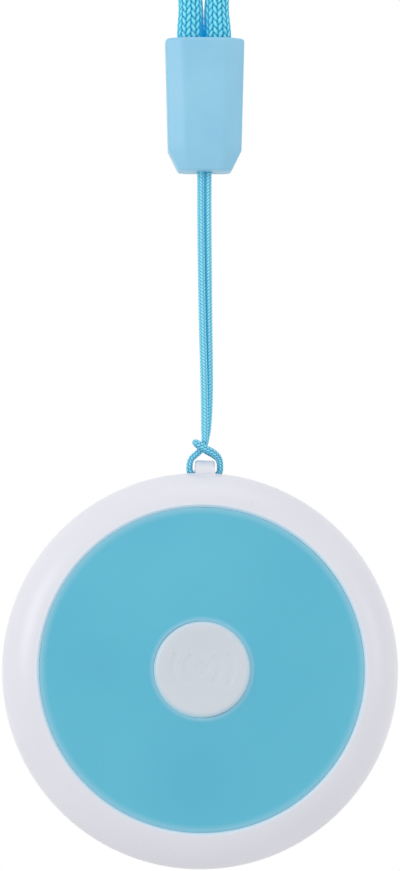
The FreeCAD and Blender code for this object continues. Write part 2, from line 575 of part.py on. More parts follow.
# Call button: a hollow cap held in by its flange, with a stem that presses the switch.
button_cap = new_body("button_cap")
FLANGE_TOP = f"({DECK_UNDER} - dim.flange_rest)"
FLANGE_UNDER = f"({FLANGE_TOP} - dim.flange_thick)"
SEAL_LEVEL = "(dim.plate_seat - dim.deck_thick / 2)"
GROOVE_HALF = "(dim.seal_wire / 2 + dim.seal_fit)"
SEAL_RING = f"({DECK_HOLE} - dim.seal_room - dim.seal_wire / 2)"
GROOVE_RADIUS = f"({SEAL_RING} - {GROOVE_HALF})"
CAP_INSIDE = "(dim.cap_radius - dim.cap_wall)"
STEM_END = f"({BOARD_FRONT} + dim.switch_tall + dim.plunger_show)"
DISH = "((dim.cap_dish_radius ^ 2 + dim.cap_dish ^ 2) / (2 * dim.cap_dish))"
turned(button_cap, [
    ("0", STEM_END), ("dim.stem_radius", STEM_END),
    ("dim.stem_radius", "dim.cap_face - dim.cap_roof"),
    (CAP_INSIDE, "dim.cap_face - dim.cap_roof"), (CAP_INSIDE, FLANGE_UNDER),
    ("dim.flange_radius", FLANGE_UNDER), ("dim.flange_radius", FLANGE_TOP),
    ("dim.cap_radius", FLANGE_TOP), ("dim.cap_radius", f"{SEAL_LEVEL} - {GROOVE_HALF}"),
    (GROOVE_RADIUS, f"{SEAL_LEVEL} - {GROOVE_HALF}"),
    (GROOVE_RADIUS, f"{SEAL_LEVEL} + {GROOVE_HALF}"),
    ("dim.cap_radius", f"{SEAL_LEVEL} + {GROOVE_HALF}"),
    ("dim.cap_radius", "dim.cap_face - dim.cap_round", "dim.cap_round", "left"),
    ("dim.cap_radius - dim.cap_round", "dim.cap_face"),
    ("dim.cap_dish_radius", "dim.cap_face", DISH, "right"),
    ("0", "dim.cap_face - dim.cap_dish")])
hang(button_cap)

button_seal = new_body("button_seal")
seal_sketch = sketch_on(button_seal, "XZ_Plane")
disc(seal_sketch, SEAL_RING, SEAL_LEVEL, "dim.seal_wire / 2")
seal_ring = feature(button_seal, "Revolution", seal_sketch, "ring")
seal_ring.ReferenceAxis = (seal_sketch, ["V_Axis"])
seal_ring.Angle = FULL_TURN
hang(button_seal)

switch_plunger = new_body("switch_plunger")
SWITCH_TOP = f"({BOARD_FRONT} + dim.switch_tall)"
pad_between(switch_plunger, f"{SWITCH_TOP} - dim.plunger_inside", STEM_END,
            lambda s: disc(s, "0", "0", "dim.plunger_radius"), "pad")
hang(switch_plunger)

# Main board: a round board held between the housing's posts and the cover's bosses.
main_board = new_body("main_board")
pad_between(main_board, BOARD_BACK, BOARD_FRONT,
            lambda s: disc(s, "0", "0", f"({SPIGOT_IN} - dim.board_fit)"), "board")
pad_between(main_board, BOARD_BACK, BOARD_FRONT,
            at_posts("(dim.nose_radius + dim.nose_fit)"), "post_holes", "Pocket")
hang(main_board)

switch_body = block("switch_body", "0", "0", "dim.switch_side", "dim.switch_side",
                    BOARD_FRONT, SWITCH_TOP)
pad_between(switch_body,
            f"{SWITCH_TOP} - dim.plunger_inside - dim.travel - dim.plunger_spare", SWITCH_TOP,
            lambda s: disc(s, "0", "0", "(dim.plunger_radius + dim.plunger_fit)"), "well",
            "Pocket")

# Radio parts: a ceramic patch aerial above the button, the modem below it, the receiver beside it.
GPS_LOW = "(dim.flange_radius + dim.gps_fit)"
GPS_HIGH = "(dim.case_radius - dim.gps_rim)"
GPS_SIDE = f"({GPS_HIGH} - {GPS_LOW})"
GPS_UP = f"(({GPS_HIGH} + {GPS_LOW}) / 2)"
GPS_PAD = f"({GPS_SIDE} - 2 * dim.gps_pad_inset)"
GPS_TOP = f"({BOARD_FRONT} + dim.gps_tall)"
gps_antenna = block("gps_antenna", "0", GPS_UP, GPS_SIDE, GPS_SIDE, BOARD_FRONT, GPS_TOP)
pad_between(gps_antenna, GPS_TOP, f"{GPS_TOP} + dim.gps_pad_tall",
            lambda s: rectangle(s, "0", GPS_UP, GPS_PAD, GPS_PAD), "patch")
block("cellular_module", "0", "(dim.modem_in - dim.case_radius)", "dim.modem_wide",
      "dim.modem_high", BOARD_FRONT, f"{BOARD_FRONT} + dim.modem_tall", "dim.shield_round")
block("gps_receiver", "(dim.case_radius - dim.receiver_in)", "0", "dim.receiver_wide",
      "dim.receiver_high", BOARD_FRONT, f"{BOARD_FRONT} + dim.receiver_tall", "dim.shield_round")
block("microphone", "(dim.case_radius - dim.voice_in)", "-dim.voice_down", "dim.voice_wide",
      "dim.voice_high", BOARD_FRONT, f"{BOARD_FRONT} + dim.voice_tall")

# Card tray: a low shell on the board, open at its lower end, with the small card pushed in.
TRAY_IN_LOW = f"({BOARD_FRONT} + dim.tray_wall)"
TRAY_IN_TOP = f"({BOARD_FRONT} + dim.tray_tall - dim.tray_wall)"
TRAY_PLACE = "(dim.tray_in - dim.case_radius)"
sim_socket = block("sim_socket", TRAY_PLACE, "0", "dim.tray_wide", "dim.tray_high",
                   BOARD_FRONT, f"{BOARD_FRONT} + dim.tray_tall")
pad_between(sim_socket, TRAY_IN_LOW, TRAY_IN_TOP,
            lambda s: rectangle(s, TRAY_PLACE, "-dim.tray_wall",
                                "(dim.tray_wide - 2 * dim.tray_wall)", "dim.tray_high"),
            "slot", "Pocket")
sim_card = new_body("sim_card")


def card_outline(sketch):
    """The card's outline, with one corner cut off."""
    left, right = f"{TRAY_PLACE} - dim.card_wide / 2", f"{TRAY_PLACE} + dim.card_wide / 2"
    low, high = "-dim.card_high / 2", "dim.card_high / 2"
    outline(sketch, [(left, low), (right, low), (right, f"{high} - dim.card_corner"),
                     (f"{right} - dim.card_corner", high), (left, high)])


pad_between(sim_card, TRAY_IN_LOW, f"{TRAY_IN_LOW} + dim.card_thick", card_outline, "card")
hang(sim_card)

# Battery: a flat pouch cell on a foam pad behind the board, plugged in by two short leads.
BATTERY_FRONT = f"({BOARD_BACK} - dim.pad_thick)"
BATTERY_END = "(dim.battery_high / 2)"
BATTERY_WIDE = f"(2 * ({SPEAKER_ACROSS} - dim.speaker_radius - dim.battery_fit))"
block("battery_pad", "0", "0", f"({BATTERY_WIDE} - 2 * dim.pad_inset)",
      "(dim.battery_high - 2 * dim.pad_inset)", BATTERY_FRONT, BOARD_BACK)
block("battery", "0", "0", BATTERY_WIDE, "dim.battery_high",
      f"{BATTERY_FRONT} - dim.battery_thick", BATTERY_FRONT, "dim.battery_round")
block("battery_socket", "0", f"({BATTERY_END} + dim.plug_gap + dim.plug_high / 2)",
      "dim.plug_wide", "dim.plug_high", f"{BOARD_BACK} - dim.plug_thick", BOARD_BACK)
battery_leads = new_body("battery_leads")
lead_sketch = sketch_on(battery_leads, "XZ_Plane", f"-{BATTERY_END}")
for lead_side in ("-", ""):
    disc(lead_sketch, f"{lead_side}dim.lead_spread", f"{BOARD_BACK} - dim.lead_depth",
         "dim.lead_dia / 2")
leads = feature(battery_leads, "Pad", lead_sketch, "leads", Length="dim.plug_gap")
leads.Reversed = True
hang(battery_leads)

# Speaker behind the grille, with a cloth against the holes, and the shaker on the board.
MESH_FRONT = f"({COVER_INSIDE} + dim.mesh_thick)"
speaker_mesh = new_body("speaker_mesh")
pad_between(speaker_mesh, COVER_INSIDE, MESH_FRONT,
            lambda s: disc(s, SPEAKER_ACROSS, "0", "dim.mesh_radius"), "cloth")
hang(speaker_mesh)
speaker = new_body("speaker")
pad_between(speaker, MESH_FRONT, f"{MESH_FRONT} + dim.speaker_thick",
            lambda s: disc(s, SPEAKER_ACROSS, "0", "dim.speaker_radius"), "can")
hang(speaker)
vibration_motor = new_body("vibration_motor")
SHAKER_PLACE = f"(dim.shaker_radius + dim.shaker_fit - {SPIGOT_IN})"
pad_between(vibration_motor, f"{BOARD_BACK} - dim.shaker_thick", BOARD_BACK,
            lambda s: disc(s, SHAKER_PLACE, "0", "dim.shaker_radius"), "can")
hang(vibration_motor)

# Charging: two gilt contacts set in the cover, each met inside by a sprung pin from the board.
charge_contacts = new_body("charge_contacts")
FLANGE_END = f"({COVER_INSIDE} + dim.contact_flange_thick)"
pad_between(charge_contacts, "-dim.case_back + dim.contact_sunk", COVER_INSIDE,
            at_contacts("dim.contact_radius"), "shank")
pad_between(charge_contacts, COVER_INSIDE, FLANGE_END, at_contacts("dim.contact_flange"),
            "flange")
hang(charge_contacts)
contact_pins = new_body("contact_pins")
pad_between(contact_pins, FLANGE_END, BOARD_BACK, at_contacts("dim.pin_radius"), "pin")
hang(contact_pins)

# Cellular aerial: a thin strip bent against the inside of the rim.
cellular_antenna = new_body("cellular_antenna")
AERIAL_OUT = f"({INNER_RADIUS} - dim.aerial_in)"
aerial_sketch = sketch_on(cellular_antenna, "XZ_Plane")
rectangle(aerial_sketch, f"({AERIAL_OUT} - dim.aerial_thick / 2)",
          "(dim.aerial_tall / 2 - dim.aerial_behind)", "dim.aerial_thick", "dim.aerial_tall")
strip = feature(cellular_antenna, "Revolution", aerial_sketch, "strip", Angle="dim.aerial_sweep")
strip.ReferenceAxis = (aerial_sketch, ["V_Axis"])
hang(cellular_antenna)

# Case screws: four in a group, driven from the back through the cover into the housing's posts.
case_screws = new_body("case_screws")
HEAD_SEAT = "(-dim.case_back + dim.sink_deep)"
HEAD_FACE = f"({HEAD_SEAT} - dim.head_tall)"
pad_between(case_screws, HEAD_FACE, HEAD_SEAT, at_posts("dim.head_radius"), "heads")
pad_between(case_screws, HEAD_SEAT, "dim.screw_end", at_posts("dim.screw_radius"), "shanks")


def at_heads(wide, high):
    """Draws one bar of the cross recess in each screw's head."""
    def draw(sketch):
        for across, up in POST_PLACES:
            rectangle(sketch, across, up, wide, high)
    return draw


for bar in (at_heads("2 * dim.slot_radius", "dim.slot_wide"),
            at_heads("dim.slot_wide", "2 * dim.slot_radius")):
    pad_between(case_screws, HEAD_FACE, f"{HEAD_FACE} + dim.slot_deep", bar, "recess", "Pocket")
hang(case_screws)

doc.recompute()
for item in doc.Objects:
    if "Invalid" in item.State or "Error" in item.State:
        raise RuntimeError(f"{item.Name} failed: {item.State}")
for item in doc.Objects:
    if item.TypeId in ("PartDesign::Pocket", "PartDesign::Groove"):
        if item.Shape.Volume >= item.BaseFeature.Shape.Volume:
            raise RuntimeError(f"{item.Name} cuts nothing")

os.makedirs("parts", exist_ok=True)
for piece in pieces:
    if piece.Shape.isNull() or not piece.Shape.isValid():
        raise RuntimeError(f"{piece.Label} has no valid shape")
    piece.Shape.exportStep(f"parts/{piece.Label}.step")
print(f"{len(pieces)} sub-parts written")
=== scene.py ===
"""Round call pendant on a doubled strap and a braided neck cord, dressed over its CAD frame.

Metres. +Z is up, +X is right and the call button faces -Y. The origin is the inside of the top of
the neck loop. The sections follow the pendant down from the neck cord to the disc, and then from
the disc's skin to what lies inside it. The studio comes last.
"""
import math
import bmesh
import bpy
import numpy as np
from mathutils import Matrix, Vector


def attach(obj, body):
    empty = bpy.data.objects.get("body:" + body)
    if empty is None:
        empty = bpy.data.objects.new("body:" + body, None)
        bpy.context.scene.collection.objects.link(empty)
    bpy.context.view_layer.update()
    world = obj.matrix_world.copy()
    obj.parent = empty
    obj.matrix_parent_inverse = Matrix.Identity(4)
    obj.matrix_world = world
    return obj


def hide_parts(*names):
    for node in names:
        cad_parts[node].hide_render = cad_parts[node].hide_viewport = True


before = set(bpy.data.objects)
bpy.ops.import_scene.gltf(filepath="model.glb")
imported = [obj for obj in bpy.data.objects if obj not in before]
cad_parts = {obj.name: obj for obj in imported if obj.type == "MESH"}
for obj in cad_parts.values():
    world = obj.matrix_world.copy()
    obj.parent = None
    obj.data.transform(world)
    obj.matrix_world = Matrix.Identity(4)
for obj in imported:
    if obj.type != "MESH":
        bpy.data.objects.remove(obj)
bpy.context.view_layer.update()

# Camera: a long lens a little below the disc and a little to its left, looking slightly upwards.
# The picture is 400 by 871, and its long side takes in 133 mm at the rim of the disc. Colours
# come out as they are written.
MM = 0.001
CAMERA_AIM = Vector((-0.70, 0, -106.3)) * MM
CAMERA_AWAY = 736.7 * MM
CAMERA_LEFT = math.radians(2.4)
CAMERA_BELOW = math.radians(4.3)
LENS = 200
LONG_SIDE = 36
NEAREST = 0.01
FARTHEST = 10

scene = bpy.context.scene
scene.view_settings.view_transform = "Standard"
looking = Vector((math.sin(CAMERA_LEFT) * math.cos(CAMERA_BELOW),
                  math.cos(CAMERA_LEFT) * math.cos(CAMERA_BELOW),
                  math.sin(CAMERA_BELOW)))
camera = bpy.data.objects.new("camera", bpy.data.cameras.new("camera"))
camera.data.lens = LENS
camera.data.sensor_width = LONG_SIDE
camera.data.clip_start = NEAREST
camera.data.clip_end = FARTHEST
camera.location = CAMERA_AIM - looking * CAMERA_AWAY
camera.rotation_mode = "QUATERNION"
camera.rotation_quaternion = looking.to_track_quat("-Z", "Y")
scene.collection.objects.link(camera)
scene.camera = camera

# Neck cord: one soft braided polyester cord. Its two ends are crimped together in the sleeve, and
# above it opens into the loop that goes over the head. The pull of the disc keeps it straight.
CORD_DIA = 3.75 * MM
CORD_ROUTE = np.array([
    (-2.1, 0, -57.45), (-2.12, 0, -52.25), (-2.25, 0, -46.4), (-2.2, 0, -39.2),
    (-4.1, 0, -31.6), (-9.0, 0, -24.4), (-12.9, 0, -15.6), (-12.6, 0, -5.4), (-5.3, 0, 1.875),
    (5.3, 0, 1.875), (12.8, 0, -5.7), (12.7, 0, -16.2), (8.6, 0, -24.9), (3.6, 0, -32.2),
    (1.85, 0, -39.6), (2.2, 0, -46.8), (2.12, 0, -52.25), (2.1, 0, -57.45)]) * MM
CORD_BRAID = dict(columns=16, pitch=1.08 * MM, slant=0.7, depth=0.11)
CORD_STEP = 0.14 * MM
CORD_ROUND = 96
CURVE_STEPS = 40
STITCH_LONG = 2.2
STITCH_WIDE = 2.4
STITCH_SIDE_SHARE = 0.8
CORD_SQUASH = 0.15
CORD_SQUASH_FROM = -38.5 * MM
CORD_SQUASH_OVER = 8.0 * MM
CORD_LEAN = 0.21 * MM
CORD_LEAN_LEVELS = np.array([-52.0, -46.0, -43.0, -39.8, -36.0, -30.0]) * MM
CORD_LEAN_SHARES = (0, 0.48, 0.40, 1, 1, 0)
CORD_SHADOW = (0.005, 0.29, 0.53)
CORD_BODY = (0.09, 0.68, 0.95)
CORD_LIGHT = (0.42, 0.97, 1.0)
CORD_THREADS = 28.0
# Painted shade and painted glow for the nook between the cord's two runs, over the sleeve:
NOOK_PAINTED_SHADE = (0.0, 0.26, 0.52)
NOOK_PAINTED_GLOW = (0.0, 0.12, 0.24)
NOOK_MIDDLE = -0.25 * MM
NOOK_HALF_WIDTHS = (0.75 * MM, 0.4 * MM)
NOOK_LEVELS = (-41.3 * MM, -43.4 * MM)


def line_of(name, route, step):
    """Points at an even step along the smooth line that has the route's points as its controls,
    with the line's direction at each point: the difference of the points on both sides of it."""
    curve = bpy.data.curves.new(name, "CURVE")
    curve.dimensions = "3D"
    curve.resolution_u = CURVE_STEPS
    spline = curve.splines.new("NURBS")
    spline.points.add(len(route) - 1)
    spline.points.foreach_set("co", np.c_[route, np.ones(len(route))].ravel())
    spline.order_u = 3
    spline.use_endpoint_u = True
    holder = bpy.data.objects.new(name, curve)
    line = bpy.data.meshes.new_from_object(holder)
    read = np.empty(3 * len(line.vertices))
    line.vertices.foreach_get("co", read)
    bpy.data.meshes.remove(line)
    bpy.data.objects.remove(holder)
    bpy.data.curves.remove(curve)
    points = read.reshape(-1, 3)
    so_far = np.r_[0, np.linalg.norm(np.diff(points, axis=0), axis=1).cumsum()]
    along = np.linspace(0, so_far[-1], round(so_far[-1] / step) + 1)
    even = np.stack([np.interp(along, so_far, points[:, axis]) for axis in range(3)], axis=1)
    ahead = np.gradient(even, axis=0)
    return even, ahead / np.linalg.norm(ahead, axis=1, keepdims=True), along


def carried(ahead, first):
    """A direction square to a line, carried along it without a twist: at each point it is the one
    before, less its share along the line, made one long again."""
    across = np.empty_like(ahead)
    last = np.array(first, dtype=float)
    for index, forward in enumerate(ahead):
        last = last - forward * (last @ forward)
        last = last / np.linalg.norm(last)
        across[index] = last
    return across


def braid(turn, along, columns, pitch, slant):
    """How high a braided cord's surface is, from 0 in a groove to 1 on a stitch. The round is
    divided into columns of slanting oval stitches that lean left and right by turns, and each
    column is half a pitch ahead of the one before it. A stitch is a low dome: the square root of
    one less a power of the distance lengthways and a power of the distance sideways."""
    column = np.floor(turn * columns)
    sideways = 2 * (turn * columns - column) - 1
    lean = np.where(column % 2 == 0, 1, -1)
    phase = along / pitch + lean * slant * sideways / 2 + column % 2 / 2
    lengthways = np.abs(2 * (phase % 1) - 1)
    lost_sideways = STITCH_SIDE_SHARE * np.abs(sideways) ** STITCH_WIDE
    return np.sqrt(np.clip(1 - lengthways ** STITCH_LONG - lost_sideways, 0, 1))


def skin(name, rings, heights=None, open_ends=False, lengths=None):
    """A mesh of closed rings of points, each joined to the next by four-sided faces, with a flat
    face over each end. The faces are turned over if the volume that they enclose, the sum of the
    corners' triple products, comes out negative. The UV map goes once round in u and along the
    rings in v, and heights are kept at the points as the attribute "relief"."""
    count, around = rings.shape[:2]
    lower, column = np.meshgrid(np.arange(count - 1), np.arange(around), indexing="ij")
    after = (column + 1) % around
    quads = np.stack([lower * around + column, lower * around + after,
                      (lower + 1) * around + after, (lower + 1) * around + column], axis=-1)
    corners_u = np.stack([column, column + 1, column + 1, column], axis=-1) / around
    level = np.linspace(0, 1, count) if lengths is None else lengths
    corners_v = level[np.stack([lower, lower, lower + 1, lower + 1], axis=-1)]
    faces = quads.reshape(-1, 4)
    maps = np.stack([corners_u.reshape(-1, 4), corners_v.reshape(-1, 4)], axis=-1)
    points = rings.reshape(-1, 3)
    middle = points - points.mean(axis=0)
    volume = np.einsum("ij,ij->i", middle[faces[:, 0]],
                       np.cross(middle[faces[:, 1]], middle[faces[:, 2]])
                       + np.cross(middle[faces[:, 2]], middle[faces[:, 3]])).sum()
    if volume < 0:
        faces, maps = faces[:, ::-1], maps[:, ::-1]
    ends = [] if open_ends else [range(around), range((count - 1) * around, count * around)]
    lids = [list(end) for end in ends]
    if lids:
        lids[0 if volume > 0 else 1].reverse()
    mesh = bpy.data.meshes.new(name)
    mesh.from_pydata(points, [], faces.tolist() + lids)
    flat = [(0.5, 0.5)] * (len(lids) * around)
    uv = mesh.uv_layers.new(name="UVMap")
    uv.data.foreach_set("uv", np.r_[maps.reshape(-1, 2), np.array(flat).reshape(-1, 2)].ravel())
    if heights is not None:
        relief = mesh.attributes.new("relief", "FLOAT", "POINT")
        relief.data.foreach_set("value", heights.ravel())
    mesh.shade_smooth()
    mesh.validate()
    piece = bpy.data.objects.new(name, mesh)
    scene.collection.objects.link(piece)
    return piece


def braided_cord(name, route, diameter, braid_sizes, step, around, first, shape):
    """A cord's skin and the line that it follows. Each ring is the line's point plus the radius
    times the cosine and the sine of the turn along two directions square to the line, each times
    its share from shape(), which also moves the ring across. The radius falls below half the
    diameter by the braid's depth in its grooves."""
    line, ahead, along = line_of(name, route, step)
    across = carried(ahead, first)
    upward = np.cross(ahead, across)
    turn = np.arange(around) / around
    weave = {key: value for key, value in braid_sizes.items() if key != "depth"}
    height = braid(turn[None, :], along[:, None], **weave)
    radius = diameter / 2 * (1 - braid_sizes["depth"] * (1 - height))
    angle = math.tau * turn
    first_share, second_share, aside = shape(line)
    out = (np.cos(angle)[None, :, None] * (across * first_share[:, None])[:, None, :]
           + np.sin(angle)[None, :, None] * (upward * second_share[:, None])[:, None, :])
    rings = line[:, None, :] + radius[:, :, None] * out
    rings[:, :, 0] += aside[:, None]
    return skin(name, rings, height, lengths=along / (math.pi * diameter)), line


def group(name, inputs, outputs):
    """A new shader node group with its sockets, and the nodes at its two ends."""
    tree = bpy.data.node_groups.new(name, "ShaderNodeTree")
    for label, kind, value in inputs:
        socket = tree.interface.new_socket(label, in_out="INPUT", socket_type=kind)
        if value is not None:
            socket.default_value = value
    for label, kind in outputs:
        tree.interface.new_socket(label, in_out="OUTPUT", socket_type=kind)
    return tree, tree.nodes.new("NodeGroupInput"), tree.nodes.new("NodeGroupOutput")


def add(tree, kind, settings=None, **inputs):
    """A node with its settings. Each input is a plain value or the output socket that feeds it,
    and the words of its name are joined by underscores."""
    node = tree.nodes.new(f"ShaderNode{kind}")
    for key, value in (settings or {}).items():
        setattr(node, key, value)
    for label, value in inputs.items():
        socket = node.inputs[int(label[1:]) if label[1:].isdigit() else label.replace("_", " ")]
        if isinstance(value, bpy.types.NodeSocket):
            tree.links.new(value, socket)
        else:
            socket.default_value = value
    return node


def material(name, **constants):
    """A material with its Principled shader, whose constants are set on the shader itself."""
    made = bpy.data.materials.new(name)
    made.use_nodes = True
    shader = made.node_tree.nodes["Principled BSDF"]
    for label, value in constants.items():
        shader.inputs[label.replace("_", " ")].default_value = value
    return made, made.node_tree, shader


def noise(tree, place, scale, detail=4.0, rough=0.5):
    """A noise pattern's value from 0 to 1 at a place."""
    return add(tree, "TexNoise", Vector=place, Scale=scale, Detail=detail,
               Roughness=rough).outputs["Fac"]


def between(tree, value, low, high, first=0.0, last=1.0):
    """The value carried from the range low to high over to the range first to last."""
    return add(tree, "MapRange", Value=value, From_Min=low, From_Max=high, To_Min=first,
               To_Max=last).outputs["Result"]


def mix(tree, share, first, last):
    """Two colours mixed by a share from 0 to 1."""
    return add(tree, "Mix", {"data_type": "RGBA"}, i0=share, i6=first, i7=last).outputs[2]


def opaque(colour):
    """A colour with its fourth number."""
    return (*colour, 1.0)


# The look of braided yarn, for both cords: shadow in the grooves, light on the stitches, and fine
# threads that run along them. The heights come from the mesh, and the threads from its UV map.
YARN_GROOVE = (0.15, 0.75)
YARN_CREST = (0.62, 1.0)
THREAD_STRETCH = (3.0, 1.0, 1.0)
THREAD_DETAIL = 3.0
THREAD_GLINT = (0.35, 0.65, 0.35, 1.0)
THREAD_ROUGHNESS = (0.3, 0.7, 0.55, 0.8)
THREAD_BUMP = dict(Strength=0.35, Distance=0.05 * MM)
braid_look, yarn_in, yarn_out = group(
    "braided_yarn",
    [("Shadow", "NodeSocketColor", None), ("Body", "NodeSocketColor", None),
     ("Light", "NodeSocketColor", None), ("Thread Scale", "NodeSocketFloat", 40.0)],
    [("Color", "NodeSocketColor"), ("Roughness", "NodeSocketFloat"),
     ("Normal", "NodeSocketVector")])
relief = add(braid_look, "Attribute", {"attribute_name": "relief"}).outputs["Fac"]
yarn_map = add(braid_look, "UVMap").outputs["UV"]
stretched = add(braid_look, "Mapping", Vector=yarn_map, Scale=THREAD_STRETCH).outputs["Vector"]
threads = noise(braid_look, stretched, yarn_in.outputs["Thread Scale"], THREAD_DETAIL)
groove = between(braid_look, relief, *YARN_GROOVE)
crest = between(braid_look, relief, *YARN_CREST)
sunk = mix(braid_look, groove, yarn_in.outputs["Shadow"], yarn_in.outputs["Body"])
glint = add(braid_look, "Math", {"operation": "MULTIPLY"}, i0=crest,
            i1=between(braid_look, threads, *THREAD_GLINT)).outputs[0]
yarn = mix(braid_look, glint, sunk, yarn_in.outputs["Light"])
braid_look.links.new(yarn, yarn_out.inputs["Color"])
braid_look.links.new(between(braid_look, threads, *THREAD_ROUGHNESS),
                     yarn_out.inputs["Roughness"])
braid_look.links.new(add(braid_look, "Bump", Height=threads, **THREAD_BUMP).outputs["Normal"],
                     yarn_out.inputs["Normal"])


def use_look(tree, shader, look, **inputs):
    """Places a shared look in a material, with this piece's own values, and joins it up."""
    node = tree.nodes.new("ShaderNodeGroup")
    node.node_tree = look
    for label, value in inputs.items():
        node.inputs[label.replace("_", " ")].default_value = value
    for label, socket in (("Color", "Base Color"), ("Roughness", "Roughness"),
                          ("Normal", "Normal")):
        tree.links.new(node.outputs[label], shader.inputs[socket])


def yarn_finish(name, shadow, body, light, thread_scale):
    """A cord's material: the braided look in this cord's own colours."""
    made, tree, shader = material(name, Sheen_Weight=0.15, Sheen_Roughness=0.4,
                                  Specular_IOR_Level=0.35)
    use_look(tree, shader, braid_look, Shadow=opaque(shadow), Body=opaque(body),
             Light=opaque(light), Thread_Scale=thread_scale)
    return made


def tinted(finish, mask, tint):
    """Mixes a tint into a finished material's colour by a mask."""
    tree = finish.node_tree
    base = tree.nodes["Principled BSDF"].inputs["Base Color"]
    tree.links.new(mix(tree, mask, base.links[0].from_socket, opaque(tint)), base)


def painted_glow(finish, mask, glow):
    """Paints a glow into a finished material by a mask, though the piece is no lamp."""
    tree = finish.node_tree
    shader = tree.nodes["Principled BSDF"]
    shader.inputs["Emission Strength"].default_value = 1.0
    tree.links.new(mix(tree, mask, opaque((0, 0, 0)), opaque(glow)),
                   shader.inputs["Emission Color"])


def squashed(line):
    """The cord's depth and width over its diameter, and how far it is moved across. Towards the
    sleeve its two runs are pressed together, so they grow shallower and wider, along a smooth step
    down their height. Just above the sleeve they also lean towards each other."""
    low = np.clip((CORD_SQUASH_FROM - line[:, 2]) / CORD_SQUASH_OVER, 0, 1)
    pressed = CORD_SQUASH * low ** 2 * (3 - 2 * low)
    leaning = CORD_LEAN * np.interp(line[:, 2], CORD_LEAN_LEVELS, CORD_LEAN_SHARES)
    return 1 - pressed, 1 + pressed, -np.sign(line[:, 0]) * leaning


neck_cord, cord_line = braided_cord("braided_neck_cord", CORD_ROUTE, CORD_DIA, CORD_BRAID,
                                    CORD_STEP, CORD_ROUND, (0, -1, 0), squashed)
neck_yarn = yarn_finish("neck_cord_yarn", CORD_SHADOW, CORD_BODY, CORD_LIGHT, CORD_THREADS)

# Painted shade: the nook between the cord's two runs, just above the sleeve, is painted a deeper
# blue than the rest, with a faint painted glow in it.
yarn_tree = neck_yarn.node_tree
yarn_place = add(yarn_tree, "SeparateXYZ",
                 Vector=add(yarn_tree, "TexCoord").outputs["Object"]).outputs
from_nook = add(yarn_tree, "Math", {"operation": "SUBTRACT"}, i0=yarn_place["X"], i1=NOOK_MIDDLE)
nook_away = add(yarn_tree, "Math", {"operation": "ABSOLUTE"}, i0=from_nook.outputs[0]).outputs[0]
nook = add(yarn_tree, "Math", {"operation": "MULTIPLY"},
           i0=between(yarn_tree, nook_away, *NOOK_HALF_WIDTHS),
           i1=between(yarn_tree, yarn_place["Z"], *NOOK_LEVELS)).outputs[0]
tinted(neck_yarn, nook, NOOK_PAINTED_SHADE)
painted_glow(neck_yarn, nook, NOOK_PAINTED_GLOW)
neck_cord.data.materials.append(neck_yarn)
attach(neck_cord, "lanyard")
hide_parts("neck_cord")

# Strap: a thin braided cord, doubled. Its ends share the crimp, and its closed end goes through
# the eye of the disc and back round the strap itself, as a girth hitch. It turns on its way down.
STRAP_DIA = 1.1 * MM
STRAP_GAP = 0.05 * MM
RIM = -112.1 * MM
EYE = -112.7 * MM
CRIMP_TOP = -52.45 * MM
CRIMP_LOW = -58.85 * MM
STRAP_GRIP = 1.3 * MM
LEG_ACROSS = 2.3 * MM
HANG_LEAN = math.radians(1.36)
LEG_ASIDE_MM = 0.03
STRAP_BRAID = dict(columns=6, pitch=0.5 * MM, slant=0.6, depth=0.12)
STRAP_STEP = 0.065 * MM
STRAP_ROUND = 28
PAIR_TURNS = [(0, 49.55, 12), (-0.05, 41.6, 15), (0.02, 32.5, 20), (0.15, 22.6, 29),
              (0.34, 14.6, 40), (0.34, 9.6, 52), (0.2, 6.2, 68), (0.03, 4.2, 84)]
PAIR_LOW = RIM + 4.9 * MM
PAIR_NEAR = 0.15 * MM
PAIR_FAR = 0.5 * MM
# Painted shade between the two strands, and how far the stitches' painted shade is lifted.
PAIR_SHADE = 0.5
STITCH_SHADE = 0.3
STRAP_SWELL = 1.045
HITCH_SQUEEZE = 0.16
HITCH_TOP = 6.8 * MM
HITCH_OVER = 1.6 * MM
STRAP_SHADOW = (0.012, 0.20, 0.38)
STRAP_BODY = (0.16, 0.645, 0.925)
STRAP_LIGHT = (0.44, 0.95, 1.0)
# A painted glow for the seam where the two strands face each other.
STRAP_PAINTED_GLOW = (0.0, 0.11, 0.13)
STRAP_THREADS = 12.0
strap_side = (STRAP_DIA + STRAP_GAP) / 2


def strand(across, up, turn, sign):
    """A point of one strand of the doubled strap, in millimetres over the disc's rim and turned
    about the middle of the pair. Sign is -1 for the front strand and 1 for the back one."""
    angle = math.radians(turn)
    return (across * MM + sign * strap_side * math.cos(angle),
            sign * strap_side * math.sin(angle), RIM + up * MM)


def standing(sign):
    """One strand's points from the crimp down to where it leaves the pair for the eye. The pair's
    turns are given as (across, up over the rim, degrees)."""
    return [(0, sign * STRAP_GRIP, CRIMP_TOP), (0, sign * STRAP_GRIP, CRIMP_LOW)] + [
        strand(across, up, turn, sign) for across, up, turn in PAIR_TURNS]


def hitch_point(across, front, up):
    """A point of the hitch in millimetres: across, to the front and over the disc's rim."""
    return (across * MM, -front * MM, RIM + up * MM)


